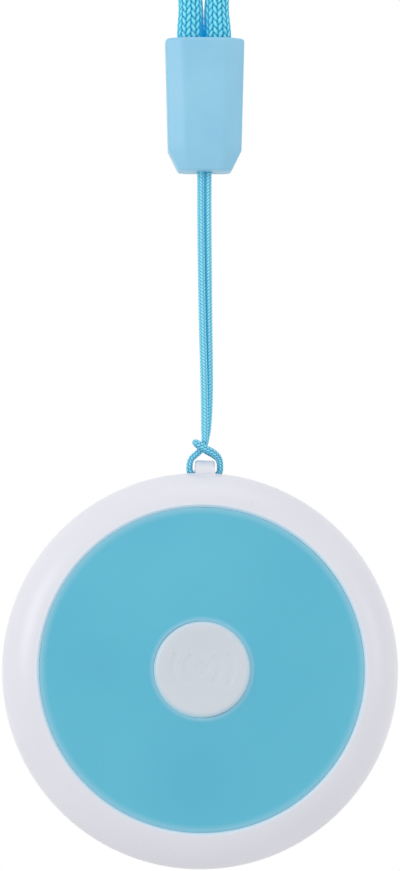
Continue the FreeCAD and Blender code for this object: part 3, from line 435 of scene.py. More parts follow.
leg = LEG_ACROSS * math.cos(HANG_LEAN)
tilt = LEG_ACROSS * math.sin(HANG_LEAN)
side_mm = strap_side / MM
leg_out = side_mm + LEG_ASIDE_MM
left_leg = [hitch_point(-1.08, side_mm, 3.05), hitch_point(-2.32, leg_out, 2.05),
            (-leg, -strap_side, EYE + tilt)]
bight = [(leg, -strap_side, EYE - tilt), hitch_point(2.42, leg_out, 2.05),
         hitch_point(1.43, 1.72, 3.08), hitch_point(0.1, 1.84, 3.7),
         hitch_point(-0.97, 1.64, 4.4), hitch_point(-1.42, 0.57, 4.75),
         hitch_point(-1.42, -0.57, 4.75), hitch_point(-0.97, -1.64, 4.4),
         hitch_point(0.1, -1.84, 3.65), hitch_point(1.43, -1.72, 2.98),
         hitch_point(2.42, -leg_out, 2.05), (leg, strap_side, EYE - tilt)]
left_leg_behind = [(across, -back, up) for across, back, up in reversed(left_leg)]
strap_route = np.array(standing(-1) + left_leg + bight + left_leg_behind + standing(1)[::-1])


def squeezed(line):
    """The strap's width over its diameter, the same both ways: a little full where the two
    strands lie side by side, and pulled thinner in the hitch, along a smooth step in height. It
    isn't moved across."""
    into = np.clip((RIM + HITCH_TOP - line[:, 2]) / HITCH_OVER, 0, 1)
    share = STRAP_SWELL - HITCH_SQUEEZE * into ** 2 * (3 - 2 * into)
    return share, share, np.zeros(len(line))


strap, strap_line = braided_cord("braided_strap", strap_route, STRAP_DIA, STRAP_BRAID, STRAP_STEP,
                                 STRAP_ROUND, (-1, 0, 0), squeezed)


def shade_between(piece):
    """Softens the painted shadow of the standing strands' stitches by raising their heights,
    and paints shadow where the two strands face each other by lowering them. That is by distance
    from the middle of the pair, which follows the line through the pair's turns. How far they
    face each other is kept as the attribute "facing", which also masks a painted glow."""
    mesh = piece.data
    places = np.empty(3 * len(mesh.vertices))
    mesh.vertices.foreach_get("co", places)
    places = places.reshape(-1, 3)
    heights = np.empty(len(places))
    mesh.attributes["relief"].data.foreach_get("value", heights)
    across, up, _ = np.array(PAIR_TURNS[::-1]).T * MM
    apart = np.hypot(places[:, 0] - np.interp(places[:, 2] - RIM, up, across), places[:, 1])
    standing_part = places[:, 2] > PAIR_LOW
    facing = np.interp(apart, [PAIR_NEAR, PAIR_FAR], [1, 0]) * standing_part
    softened = (STITCH_SHADE + (1 - STITCH_SHADE) * heights) * (1 - PAIR_SHADE * facing)
    mesh.attributes["relief"].data.foreach_set("value", np.where(standing_part, softened, heights))
    mesh.attributes.new("facing", "FLOAT", "POINT").data.foreach_set("value", facing)


shade_between(strap)
strap_yarn = yarn_finish("strap_yarn", STRAP_SHADOW, STRAP_BODY, STRAP_LIGHT, STRAP_THREADS)
# Painted light: the seam where the two strands face each other glows a faint blue.
painted_glow(strap_yarn, add(strap_yarn.node_tree, "Attribute",
                        {"attribute_name": "facing"}).outputs["Fac"], STRAP_PAINTED_GLOW)
strap.data.materials.append(strap_yarn)
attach(strap, "lanyard")
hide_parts("strap_loop")

# Sleeve: one moulding of light blue satin plastic with bevelled sides and a narrower foot. It is
# pushed down over the crimp, so the neck cord enters its mouth and the strap leaves its foot. Its
# widths, depths and bevels are those at the foot, at the shoulder and at the top.
SLEEVE_TOP = -45.55 * MM
SLEEVE_FOOT = -65.95 * MM
SLEEVE_TAPER = 3.2 * MM
SLEEVE_EASE = 4.6 * MM
SLEEVE_WIDE = np.array([8.0, 11.2, 12.1]) * MM
SLEEVE_DEEP = np.array([5.4, 7.0, 7.0]) * MM
SLEEVE_BEVEL_WIDE = np.array([1.4, 2.6, 2.6]) * MM
SLEEVE_BEVEL_DEEP = np.array([0.7, 1.5, 1.5]) * MM
SLEEVE_TOP_ROUND = 0.55 * MM
SLEEVE_FOOT_ROUND = 0.3 * MM
MOUTH = np.array([9.0, 4.8]) * MM
MOUTH_ROUND = 0.3 * MM
MOUTH_FLOOR = 3.0 * MM
STRAP_HOLE = np.array([2.5, 1.7]) * MM
SLEEVE_SHARP = 34
MOUTH_SHARP = 5
HOLE_SHARP = 4
SLEEVE_AROUND = 288
SLEEVE_STEPS = 7
FOOT_ROWS = np.array([0.02, 0.6, 1.2, 1.8, 2.4]) * MM
SHOULDER_ROWS = np.array([-0.12, 0, 0.12, 0.6, 1.1]) * MM
BODY_ROWS = np.linspace(-61.5, -48.0, 12) * MM
TOP_ROW = 0.02 * MM
MOUTH_ROWS = 8
MOUTH_START = 1 * MM
HOLE_ROWS = 4
SAME_PLACE = 1e-7
SLEEVE_CREASE = math.radians(38)
SLEEVE_BLUE = (0.307, 0.639, 0.845)
SLEEVE_DEEP_BLUE = (0.270, 0.598, 0.819)


def outline_ring(turn, height, sides, sharpness):
    """A ring of points at a height, on a rounded outline. A side is its normal's angle and its
    distance from the middle. Each side that a direction meets gives the cosine of the angle
    between them over the side's distance, and the outline's distance from the middle is one over
    the high-power sum of these."""
    facing = [np.clip(np.cos(turn - angle), 0, 1) / reach for angle, reach in sides]
    away = sum(part ** sharpness for part in facing) ** (-1 / sharpness)
    return np.stack([away * np.cos(turn), away * np.sin(turn), np.full_like(turn, height)], 1)


def sleeve_ring(turn, height, inset):
    """One ring of the sleeve's outside: an eight-sided outline whose width and depth follow the
    height, moved inwards by the inset. The depth goes over from the foot's to the body's by the
    square of what is left of the way, so that no crease crosses the front."""
    levels = [SLEEVE_FOOT, SLEEVE_FOOT + SLEEVE_TAPER, SLEEVE_TOP]
    wide = np.interp(height, levels, SLEEVE_WIDE) / 2
    left = np.clip(1 - (height - SLEEVE_FOOT) / SLEEVE_EASE, 0, 1)
    deep = (SLEEVE_DEEP[1] - (SLEEVE_DEEP[1] - SLEEVE_DEEP[0]) * left ** 2) / 2
    bevel_wide = np.interp(height, levels, SLEEVE_BEVEL_WIDE)
    bevel = math.atan2(bevel_wide, np.interp(height, levels, SLEEVE_BEVEL_DEEP))
    bevel_away = (wide - bevel_wide) * math.cos(bevel) + deep * math.sin(bevel)
    sides = [(0, wide), (math.pi, wide), (math.pi / 2, deep), (-math.pi / 2, deep)]
    sides += [(angle, bevel_away) for angle in (bevel, -bevel, math.pi - bevel, bevel - math.pi)]
    sides = [(angle, reach - inset) for angle, reach in sides]
    return outline_ring(turn, height, sides, SLEEVE_SHARP)


def oval_ring(turn, size, height, sharpness, grow=0.0):
    """One ring of the mouth or of the strap's hole: a rounded oblong outline, each of whose sides
    is moved outwards by grow."""
    wide, deep = size / 2 + grow
    sides = [(0, wide), (math.pi, wide), (math.pi / 2, deep), (-math.pi / 2, deep)]
    return outline_ring(turn, height, sides, sharpness)


def eased(count):
    """The sine and one minus the cosine of equal steps through a quarter turn."""
    quarter = np.linspace(0, math.pi / 2, count)
    return list(zip(np.sin(quarter), 1 - np.cos(quarter)))


turn = math.tau * np.arange(SLEEVE_AROUND) / SLEEVE_AROUND
wall_levels = np.r_[SLEEVE_FOOT + SLEEVE_FOOT_ROUND + FOOT_ROWS,
                    SLEEVE_FOOT + SLEEVE_TAPER + SHOULDER_ROWS,
                    BODY_ROWS, SLEEVE_TOP - SLEEVE_TOP_ROUND - TOP_ROW]
sleeve_rings = [sleeve_ring(turn, SLEEVE_FOOT + SLEEVE_FOOT_ROUND * less,
                            SLEEVE_FOOT_ROUND * (1 - more)) for more, less in eased(SLEEVE_STEPS)]
sleeve_rings += [sleeve_ring(turn, level, 0) for level in wall_levels]
sleeve_rings += [sleeve_ring(turn, SLEEVE_TOP - SLEEVE_TOP_ROUND * (1 - more),
                             SLEEVE_TOP_ROUND * less) for more, less in eased(SLEEVE_STEPS)]
sleeve_rings += [oval_ring(turn, MOUTH, SLEEVE_TOP - MOUTH_ROUND * less, MOUTH_SHARP,
                           MOUTH_ROUND * (1 - more)) for more, less in eased(SLEEVE_STEPS)]
mouth_floor = SLEEVE_FOOT + MOUTH_FLOOR
sleeve_rings += [oval_ring(turn, MOUTH, level, MOUTH_SHARP)
                 for level in np.linspace(SLEEVE_TOP - MOUTH_START, mouth_floor, MOUTH_ROWS)]
sleeve_rings += [oval_ring(turn, STRAP_HOLE, level, HOLE_SHARP)
                 for level in np.linspace(mouth_floor, SLEEVE_FOOT, HOLE_ROWS)]
sleeve = skin("moulded_sleeve", np.array(sleeve_rings + sleeve_rings[:1]), open_ends=True)
sleeve_shape = bmesh.new()
sleeve_shape.from_mesh(sleeve.data)
bmesh.ops.remove_doubles(sleeve_shape, verts=sleeve_shape.verts, dist=SAME_PLACE)
sleeve_shape.to_mesh(sleeve.data)
sleeve_shape.free()
sleeve.data.set_sharp_from_angle(angle=SLEEVE_CREASE)

# The look of moulded plastic, for every plastic piece: a slow change between two close shades, a
# satin face that faint scuffs make uneven, and the fine skin that the mould's etched wall leaves.
CLOUD_DETAIL = 2.0
CLOUD_RANGE = (0.3, 0.7)
SCUFF_STRETCH = (1.0, 1.0, 0.25)
SCUFF_NOISE = (900.0, 5.0, 0.6)
SCUFF_ROUGHNESS = (0.3, 0.75, -0.03, 0.05)
SKIN_NOISE = (5200.0, 2.0)
SKIN_DEPTH = 0.02 * MM
moulded, plastic_in, plastic_out = group(
    "moulded_plastic",
    [("Shade", "NodeSocketColor", None), ("Other Shade", "NodeSocketColor", None),
     ("Cloud Scale", "NodeSocketFloat", 90.0), ("Satin", "NodeSocketFloat", 0.4),
     ("Skin Height", "NodeSocketFloat", 0.1)],
    [("Color", "NodeSocketColor"), ("Roughness", "NodeSocketFloat"),
     ("Normal", "NodeSocketVector")])
on_piece = add(moulded, "TexCoord").outputs["Object"]
cloud = noise(moulded, on_piece, plastic_in.outputs["Cloud Scale"], CLOUD_DETAIL)
moulded.links.new(mix(moulded, between(moulded, cloud, *CLOUD_RANGE), plastic_in.outputs["Shade"],
                      plastic_in.outputs["Other Shade"]), plastic_out.inputs["Color"])
scuffs = noise(moulded, add(moulded, "Mapping", Vector=on_piece,
                            Scale=SCUFF_STRETCH).outputs["Vector"], *SCUFF_NOISE)
uneven = add(moulded, "Math", {"operation": "ADD"}, i0=plastic_in.outputs["Satin"],
             i1=between(moulded, scuffs, *SCUFF_ROUGHNESS)).outputs[0]
moulded.links.new(uneven, plastic_out.inputs["Roughness"])
moulded.links.new(
    add(moulded, "Bump", Strength=plastic_in.outputs["Skin Height"], Distance=SKIN_DEPTH,
        Height=noise(moulded, on_piece, *SKIN_NOISE)).outputs["Normal"],
    plastic_out.inputs["Normal"])


def plastic(name, shade, other_shade, satin, skin_height=0.1, cloud_scale=90.0, **constants):
    """A moulded plastic's material in two close shades of one colour."""
    made, tree, shader = material(name, **constants)
    use_look(tree, shader, moulded, Shade=opaque(shade), Other_Shade=opaque(other_shade),
             Cloud_Scale=cloud_scale, Satin=satin, Skin_Height=skin_height)
    return made


sleeve.data.materials.append(plastic(
    "sleeve_plastic", SLEEVE_BLUE, SLEEVE_DEEP_BLUE, satin=0.38, Specular_IOR_Level=0.45,
    Subsurface_Weight=0.12, Subsurface_Radius=(0.6, 0.9, 1.0), Subsurface_Scale=1.0 * MM))
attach(sleeve, "lanyard")
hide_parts("cord_sleeve")

# Crimp: an oval steel band pressed round both ends of the neck cord and of the strap. It sits
# deep in the sleeve's mouth, where only its upper edge can be seen between the cords. All metal
# pieces share its look: two close shades and a roughness that follow fine upright strokes.
CRIMP_STEEL = (0.62, 0.62, 0.64)
CRIMP_DULL = (0.48, 0.48, 0.5)
STROKE_STRETCH = (1.0, 1.0, 0.04)
STROKE_NOISE = (6000.0, 3.0)
STROKE_RANGE = (0.3, 0.7)
STROKE_ROUGHNESS = (*STROKE_RANGE, 0.08, -0.05)
STROKE_BUMP = dict(Strength=0.15, Distance=0.01 * MM)
brushed, steel_in, steel_out = group(
    "brushed_metal",
    [("Bright", "NodeSocketColor", None), ("Dull", "NodeSocketColor", None),
     ("Satin", "NodeSocketFloat", 0.35)],
    [("Color", "NodeSocketColor"), ("Roughness", "NodeSocketFloat"),
     ("Normal", "NodeSocketVector")])
strokes = noise(brushed, add(brushed, "Mapping", Vector=add(brushed, "TexCoord").outputs["Object"],
                             Scale=STROKE_STRETCH).outputs["Vector"], *STROKE_NOISE)
brushed.links.new(mix(brushed, between(brushed, strokes, *STROKE_RANGE), steel_in.outputs["Dull"],
                      steel_in.outputs["Bright"]), steel_out.inputs["Color"])
brushed.links.new(add(brushed, "Math", {"operation": "ADD"}, i0=steel_in.outputs["Satin"],
                      i1=between(brushed, strokes, *STROKE_ROUGHNESS)).outputs[0],
                  steel_out.inputs["Roughness"])
brushed.links.new(add(brushed, "Bump", Height=strokes, **STROKE_BUMP).outputs["Normal"],
                  steel_out.inputs["Normal"])


def metal(name, bright, dull, satin, **constants):
    """A metal's material with the fine strokes that rolling or brushing leaves."""
    made, tree, shader = material(name, Metallic=1.0, **constants)
    use_look(tree, shader, brushed, Bright=opaque(bright), Dull=opaque(dull), Satin=satin)
    return made


def dress(node, finish):
    """Gives a CAD node its material."""
    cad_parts[node].data.materials.clear()
    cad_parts[node].data.materials.append(finish)


dress("cord_crimp", metal("crimp_steel_band", CRIMP_STEEL, CRIMP_DULL, satin=0.34))

# Case: the front housing with its eye for the strap, and the back cover, both moulded in the same
# white plastic with a satin skin. Four screws from the back draw them together on a gasket.
CASE_WHITE = (0.815, 0.815, 0.88)
CASE_SHADE = (0.785, 0.79, 0.858)
DISC_MIDDLE = np.array([-0.6978, -0.85, -142.0917]) * MM
# Painted light round the front plate: a glow at the seat's floor and a highlight on the lip.
SEAT_FLOOR_RADIUS = 24.56 * MM
SEAT_FADE = 0.01 * MM
SEAT_PAINTED_GLOW = (0.16, 0.20, 0.20)
LIP_RADIUS = 24.83 * MM
LIP_FADE = 0.3 * MM
LIP_PAINTED_HIGHLIGHT = (0.74, 0.85, 0.95)
LUG_HALF = 1.5 * MM
LUG_ROUND = 2.6 * MM
LUG_CLEAR = 1.4 * MM
LUG_SOFT = 0.42 * MM
LUG_SOFT_STEPS = 4
ON_SIDE = 0.01 * MM
ON_ROUND = 0.03 * MM
SAME_PLANE = math.radians(1.0)
CASE_CREASE = math.radians(30)
SILICONE = (0.30, 0.31, 0.33)
SILICONE_DUSTY = (0.36, 0.37, 0.39)

# A mask by distance from a middle, seen from the front: 0 at one radius, 1 at the other. It finds
# the case's lip and seat, the rims of the front plate and of the button, and the plate's spots.
ring_mask, ring_in, ring_out = group(
    "ring_mask", [("Middle", "NodeSocketVector", tuple(DISC_MIDDLE)),
                  ("None At", "NodeSocketFloat", 0.0), ("Full At", "NodeSocketFloat", 1.0)],
    [("Mask", "NodeSocketFloat")])
from_middle = add(ring_mask, "VectorMath", {"operation": "SUBTRACT"},
                  i0=add(ring_mask, "TexCoord").outputs["Object"], i1=ring_in.outputs["Middle"])
flattened = add(ring_mask, "VectorMath", {"operation": "MULTIPLY"},
                i0=from_middle.outputs["Vector"], i1=(1, 0, 1))
away = add(ring_mask, "VectorMath", {"operation": "LENGTH"}, i0=flattened.outputs["Vector"])
ring_mask.links.new(between(ring_mask, away.outputs["Value"], ring_in.outputs["None At"],
                            ring_in.outputs["Full At"]), ring_out.inputs["Mask"])


def ring(tree, none_at, full_at, middle=DISC_MIDDLE):
    """The mask's value in a material, between two radii about a middle."""
    node = tree.nodes.new("ShaderNodeGroup")
    node.node_tree = ring_mask
    node.inputs["Middle"].default_value = tuple(middle)
    node.inputs["None At"].default_value = none_at
    node.inputs["Full At"].default_value = full_at
    return node.outputs["Mask"]


def case_finish(name):
    """The white plastic of both halves of the case."""
    return plastic(name, CASE_WHITE, CASE_SHADE, satin=0.3, skin_height=0.06, cloud_scale=45.0,
                   Specular_IOR_Level=0.5, Subsurface_Weight=0.1,
                   Subsurface_Radius=(1.0, 1.0, 1.0), Subsurface_Scale=0.8 * MM)


def softened_housing():
    """The front housing with the edges of its eye rounded: those where the eye's two flat sides
    meet its round outside. Both ends of such an edge lie on the round and on one side."""
    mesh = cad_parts["front_housing"].data.copy()
    mesh.name = "softened_housing"
    shape = bmesh.new()
    shape.from_mesh(mesh)
    bmesh.ops.remove_doubles(shape, verts=shape.verts, dist=SAME_PLACE)
    bmesh.ops.dissolve_limit(shape, angle_limit=SAME_PLANE, verts=shape.verts, edges=shape.edges)
    lean_in, lean_out = math.sin(HANG_LEAN), math.cos(HANG_LEAN)

    def rim_side(vertex):
        """Which side's edge the vertex lies on: -1, 1, or 0 for neither."""
        place = vertex.co - Vector((0, 0, EYE))
        side = place.x * lean_out - place.z * lean_in
        up = place.x * lean_in + place.z * lean_out
        on_it = (abs(abs(side) - LUG_HALF) < ON_SIDE and up > LUG_CLEAR
                 and abs(math.hypot(up, place.y) - LUG_ROUND) < ON_ROUND)
        return math.copysign(on_it, side)

    rim = [edge for edge in shape.edges
           if abs(rim_side(edge.verts[0]) + rim_side(edge.verts[1])) == 2]
    bmesh.ops.bevel(shape, geom=rim, offset=LUG_SOFT, segments=LUG_SOFT_STEPS, profile=0.5,
                    affect="EDGES", clamp_overlap=False)
    shape.to_mesh(mesh)
    shape.free()
    mesh.set_sharp_from_angle(angle=CASE_CREASE)
    piece = bpy.data.objects.new("softened_housing", mesh)
    scene.collection.objects.link(piece)
    return piece


housing_plastic = case_finish("housing_plastic")
# Painted light: a highlight on the lip round the front plate, a thin glow at its seat's floor.
tinted(housing_plastic, ring(housing_plastic.node_tree, LIP_RADIUS + LIP_FADE, LIP_RADIUS),
       LIP_PAINTED_HIGHLIGHT)
painted_glow(housing_plastic, ring(housing_plastic.node_tree, SEAT_FLOOR_RADIUS + SEAT_FADE,
                              SEAT_FLOOR_RADIUS), SEAT_PAINTED_GLOW)
housing = softened_housing()
housing.data.materials.clear()
housing.data.materials.append(housing_plastic)
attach(housing, "tracker")
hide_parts("front_housing")
dress("back_cover", case_finish("cover_plastic"))
silicone = plastic("silicone", SILICONE, SILICONE_DUSTY, satin=0.62, skin_height=0.3,
                   cloud_scale=300.0, Specular_IOR_Level=0.35)
dress("edge_gasket", silicone)

# Front plate: a thin crowned disc of translucent blue plastic with a fine satin face. A film holds
# it to the housing's deck. Its blue is slightly uneven, and darker in two soft spots, one at the
# left and one low down.
PLATE_BLUE = (0.115, 0.53, 0.70)
PLATE_DEEP_BLUE = (0.10, 0.495, 0.672)
# Painted light for the plate's rim and for the edge of the button's hole:
PLATE_RIM_PAINTED_LIGHT = (0.28, 0.60, 0.75)
PLATE_HOLE_PAINTED_LIGHT = (0.36, 0.62, 0.77)
PLATE_RADIUS = 24.45 * MM
PLATE_HOLE = 7.3 * MM
PLATE_GLOW_WIDE = 1.1 * MM
HOLE_GLOW_WIDE = 0.7 * MM
PLATE_SPOT_BLUE = (0.100, 0.485, 0.663)
PLATE_SPOTS = (dict(none_at=11.0 * MM, full_at=3.0 * MM, middle=(-1.6 * MM, 0, -158.6 * MM)),
               dict(none_at=5.5 * MM, full_at=0.5 * MM, middle=(-16.4 * MM, 0, -141.6 * MM)))
FILM_PAPER = (0.72, 0.70, 0.62)
FILM_PAPER_DULL = (0.66, 0.65, 0.58)
plate_plastic = plastic("plate_plastic", PLATE_BLUE, PLATE_DEEP_BLUE, satin=0.33, skin_height=0.08,
                        cloud_scale=38.0, Specular_IOR_Level=0.5, Subsurface_Weight=0.15,
                        Subsurface_Radius=(0.4, 0.9, 1.0), Subsurface_Scale=0.8 * MM)
for spot in PLATE_SPOTS:
    tinted(plate_plastic, ring(plate_plastic.node_tree, **spot), PLATE_SPOT_BLUE)
# Painted light: the plate is lighter towards its rim and round the button's hole.
tinted(plate_plastic, ring(plate_plastic.node_tree, PLATE_RADIUS - PLATE_GLOW_WIDE, PLATE_RADIUS),
       PLATE_RIM_PAINTED_LIGHT)
tinted(plate_plastic, ring(plate_plastic.node_tree, PLATE_HOLE + HOLE_GLOW_WIDE, PLATE_HOLE),
       PLATE_HOLE_PAINTED_LIGHT)
dress("front_plate", plate_plastic)
dress("plate_film", plastic("plate_film_paper", FILM_PAPER, FILM_PAPER_DULL, satin=0.7))

# Call button: a hollow cap of pale plastic with a dished face and a rounded edge. A flange holds
# it in, a silicone ring seals it, and its stem rests on the switch. A signal mark is sunk in it.
# Its sizes are in millimetres, from the disc's middle.
CAP_AROUND = 384
CAP_FACE_RINGS = 120
CAP_ROUND_STEPS = 12
CAP_STRIDE = 2.0
CAP_CREASE = math.radians(35)
CAP_RADIUS = 7.2
CAP_FACE = 7.9
CAP_ROUND = 0.7
CAP_DISH = 0.2
CAP_DISH_RADIUS = 6.0
CAP_INSIDE = 5.35
CAP_ROOF = 6.3
FLANGE_RADIUS = 8.8
FLANGE_TOP = 4.1
FLANGE_UNDER = 3.3
GROOVE_RADIUS = 6.53
GROOVE_LOW = 4.38
GROOVE_TOP = 5.22
STEM_RADIUS = 1.6
STEM_END = 2.0
POLE = 0.03
MARK_DOT = 0.85
MARK_ARCS = ((2.55, 44), (4.5, 27))
MARK_STROKE = 0.33
MARK_SOFT = 0.16
MARK_DEEP = 0.06
CAP_PALE = (0.678, 0.722, 0.778)
CAP_SHADE = (0.652, 0.70, 0.762)
# A painted highlight for the cap's rounded edge, and a painted glow at its rim:
CAP_EDGE_PAINTED_HIGHLIGHT = (0.56, 0.74, 0.86)
CAP_PAINTED_GLOW = (0.28, 0.37, 0.31)
CAP_GLOW_WIDE = 0.03


def from_disc(across, up, front):
    """Points given from the disc's middle, in millimetres, in the pendant's frame: turned by the
    lean about the line to the front, moved to the disc's middle and made metres."""
    lean_in, lean_out = math.sin(HANG_LEAN), math.cos(HANG_LEAN)
    place = np.stack([across * lean_out + up * lean_in, -front,
                      up * lean_out - across * lean_in], axis=-1)
    return place * MM + DISC_MIDDLE


def mark_depth(across, up):
    """How deep the signal mark is sunk at a place on the button's face: a dot with two arcs on
    each side. It is the full depth within half a stroke of the nearest line, and fades by a cosine
    over the soft edge. Past an arc's end, the distance is that to the end."""
    away = np.hypot(across, up)
    bearing = np.arctan2(np.abs(up), np.abs(across))
    nearest = away - MARK_DOT + MARK_STROKE
    for radius, half_span in MARK_ARCS:
        span = math.radians(half_span)
        past = np.clip(bearing - span, 0, None)
        to_end = np.sqrt(away ** 2 + radius ** 2 - 2 * away * radius * np.cos(past))
        nearest = np.minimum(nearest, np.where(past > 0, to_end, np.abs(away - radius)))
    fade = np.clip((nearest - MARK_STROKE) / MARK_SOFT, 0, 1)
    return MARK_DEEP * (1 + np.cos(math.pi * fade)) / 2


def turned_rings(profile, around):
    """Rings of a turned piece, from (radius, front) pairs in millimetres from the disc's middle:
    the radius times the cosine and the sine of the turn."""
    turns = math.tau * np.arange(around) / around
    across = profile[:, :1] * np.cos(turns)
    up = profile[:, :1] * np.sin(turns)
    return across, up, np.repeat(profile[:, 1:], around, axis=1)


def run(corners, stride):
    """Points on straight runs between corners, each run in equal steps of a stride at most."""
    corners = np.array(corners, dtype=float)
    counts = np.ceil(np.linalg.norm(np.diff(corners, axis=0), axis=1) / stride).astype(int)
    parts = [np.linspace(a, b, n, endpoint=False) for a, b, n in zip(corners, corners[1:], counts)]
    return np.concatenate(parts + [corners[-1:]])


dish_round = (CAP_DISH_RADIUS ** 2 + CAP_DISH ** 2) / (2 * CAP_DISH)
face_radii = np.linspace(CAP_RADIUS - CAP_ROUND, POLE, CAP_FACE_RINGS)
face_fronts = CAP_FACE - CAP_DISH + dish_round - np.sqrt(
    dish_round ** 2 - np.clip(face_radii, 0, CAP_DISH_RADIUS) ** 2)
edge = [(CAP_RADIUS - CAP_ROUND * less, CAP_FACE - CAP_ROUND * (1 - more))
        for more, less in eased(CAP_ROUND_STEPS)]
inside = [(POLE, STEM_END), (STEM_RADIUS, STEM_END), (STEM_RADIUS, CAP_ROOF),
          (CAP_INSIDE, CAP_ROOF), (CAP_INSIDE, FLANGE_UNDER)]
outside = [(FLANGE_RADIUS, FLANGE_UNDER), (FLANGE_RADIUS, FLANGE_TOP), (CAP_RADIUS, FLANGE_TOP),
           (CAP_RADIUS, GROOVE_LOW), (GROOVE_RADIUS, GROOVE_LOW), (GROOVE_RADIUS, GROOVE_TOP),
           (CAP_RADIUS, GROOVE_TOP)]
cap_profile = np.concatenate([run(inside + outside, CAP_STRIDE), edge,
                              np.c_[face_radii, face_fronts][1:]])
cap_across, cap_up, cap_front = turned_rings(cap_profile, CAP_AROUND)
on_face = cap_front > CAP_FACE - CAP_DISH - CAP_ROUND / 2
cap_front = cap_front - np.where(on_face, mark_depth(cap_across, cap_up), 0)
cap = skin("call_button_cap", from_disc(cap_across, cap_up, cap_front))
cap.data.set_sharp_from_angle(angle=CAP_CREASE)
button_plastic = plastic(
    "button_plastic", CAP_PALE, CAP_SHADE, satin=0.36, skin_height=0.06, cloud_scale=120.0,
    Specular_IOR_Level=0.5, Subsurface_Weight=0.15, Subsurface_Radius=(0.9, 1.0, 1.0),
    Subsurface_Scale=0.8 * MM)
# Painted light: a pale blue highlight on the rounded edge, and a thin glow at the outer rim.
tinted(button_plastic, ring(button_plastic.node_tree, (CAP_RADIUS - CAP_ROUND) * MM,
                            CAP_RADIUS * MM), CAP_EDGE_PAINTED_HIGHLIGHT)
painted_glow(button_plastic, ring(button_plastic.node_tree, (CAP_RADIUS - CAP_GLOW_WIDE) * MM,
                             CAP_RADIUS * MM), CAP_PAINTED_GLOW)
cap.data.materials.append(button_plastic)
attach(cap, "call_button")
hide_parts("button_cap")
dress("button_seal", silicone)

# Switch under the button: a square tactile switch of black plastic, soldered to the board. Its
# plunger is pressed by the button's stem and springs back.
SWITCH_BLACK = (0.028, 0.028, 0.03)
SWITCH_GREY = (0.04, 0.04, 0.042)
black_plastic = plastic("switch_plastic", SWITCH_BLACK, SWITCH_GREY, satin=0.5)
dress("switch_plunger", black_plastic)
dress("switch_body", black_plastic)

# Main board: glass fibre with green solder mask. Copper tracks show under the mask as slightly
# lighter and smoother lines, and the holes are for the housing's posts.
BOARD_GREEN = (0.012, 0.115, 0.05)
TRACK_GREEN = (0.03, 0.19, 0.08)
TRACKS_A_METRE = 420.0
TRACK_RANDOM = 0.6
TRACK_EDGES = (0.04, 0.07, 1.0, 0.0)
BOARD_ROUGHNESS = (0.0, 1.0, 0.38, 0.3)
TRACK_BUMP = dict(Strength=0.4, Distance=0.03 * MM)
board, board_tree, board_shader = material("board_laminate", Specular_IOR_Level=0.5,
                                           Coat_Roughness=0.2)
board_place = add(board_tree, "TexCoord").outputs["Object"]
cells = add(board_tree, "TexVoronoi", {"distance": "CHEBYCHEV", "feature": "DISTANCE_TO_EDGE"},
            Vector=board_place, Scale=TRACKS_A_METRE, Randomness=TRACK_RANDOM)
tracks = between(board_tree, cells.outputs["Distance"], *TRACK_EDGES)
board_tree.links.new(mix(board_tree, tracks, opaque(BOARD_GREEN), opaque(TRACK_GREEN)),
                     board_shader.inputs["Base Color"])
board_tree.links.new(between(board_tree, tracks, *BOARD_ROUGHNESS),
                     board_shader.inputs["Roughness"])
board_tree.links.new(add(board_tree, "Bump", Height=tracks, **TRACK_BUMP).outputs["Normal"],
                     board_shader.inputs["Normal"])
dress("main_board", board)

# Radio parts, microphone and card: a fired ceramic patch aerial, chips under shields of tinned
# steel, and the nano card in its socket. All are soldered to the board, and the card slides in.
CERAMIC = (0.56, 0.51, 0.41)
CERAMIC_DARK = (0.48, 0.43, 0.33)
SHIELD_TIN = (0.72, 0.72, 0.74)
SHIELD_DULL = (0.6, 0.6, 0.62)
CARD_WHITE = (0.8, 0.8, 0.79)
CARD_SHADE = (0.72, 0.72, 0.7)
dress("gps_antenna", plastic("aerial_ceramic_block", CERAMIC, CERAMIC_DARK, satin=0.6,
                             skin_height=0.4, cloud_scale=700.0))
shield = metal("shield_tin", SHIELD_TIN, SHIELD_DULL, satin=0.3)
for shielded in ("cellular_module", "gps_receiver", "microphone", "sim_socket"):
    dress(shielded, shield)
dress("sim_card", plastic("card_plastic", CARD_WHITE, CARD_SHADE, satin=0.4))

# Power: a pouch cell in dull foil, laid on a foam pad. Its two leads, in red insulation, run to a
# black socket on the board.
POUCH_FOIL = (0.62, 0.63, 0.66)
POUCH_DULL = (0.5, 0.51, 0.54)
PAD_BLACK = (0.07, 0.07, 0.075)
PAD_GREY = (0.12, 0.12, 0.125)
LEAD_RED = (0.5, 0.025, 0.02)
LEAD_DARK = (0.42, 0.02, 0.018)
dress("battery", metal("battery_pouch_foil", POUCH_FOIL, POUCH_DULL, satin=0.42))
dress("battery_pad", plastic("battery_pad_foam", PAD_BLACK, PAD_GREY, satin=0.9, skin_height=1.0,
                             cloud_scale=1500.0))
dress("battery_leads", plastic("lead_insulation", LEAD_RED, LEAD_DARK, satin=0.42))
dress("battery_socket", black_plastic)

# Sound and shaking: a small speaker in a painted can, set behind the cover's grille with a black
# cloth between, and a coin-shaped steel shaker on the board.
SPEAKER_GREY = (0.10, 0.10, 0.11)
SPEAKER_DARK = (0.06, 0.06, 0.065)
CLOTH_BLACK = (0.015, 0.015, 0.016)
CLOTH_GREY = (0.04, 0.04, 0.042)
SHAKER_STEEL = (0.66, 0.66, 0.68)
SHAKER_DULL = (0.55, 0.55, 0.57)
dress("speaker", metal("speaker_can", SPEAKER_GREY, SPEAKER_DARK, satin=0.4))
dress("speaker_mesh", plastic("mesh_cloth", CLOTH_BLACK, CLOTH_GREY, satin=0.85, skin_height=1.0,
                              cloud_scale=4000.0))
dress("vibration_motor", metal("shaker_can", SHAKER_STEEL, SHAKER_DULL, satin=0.28))

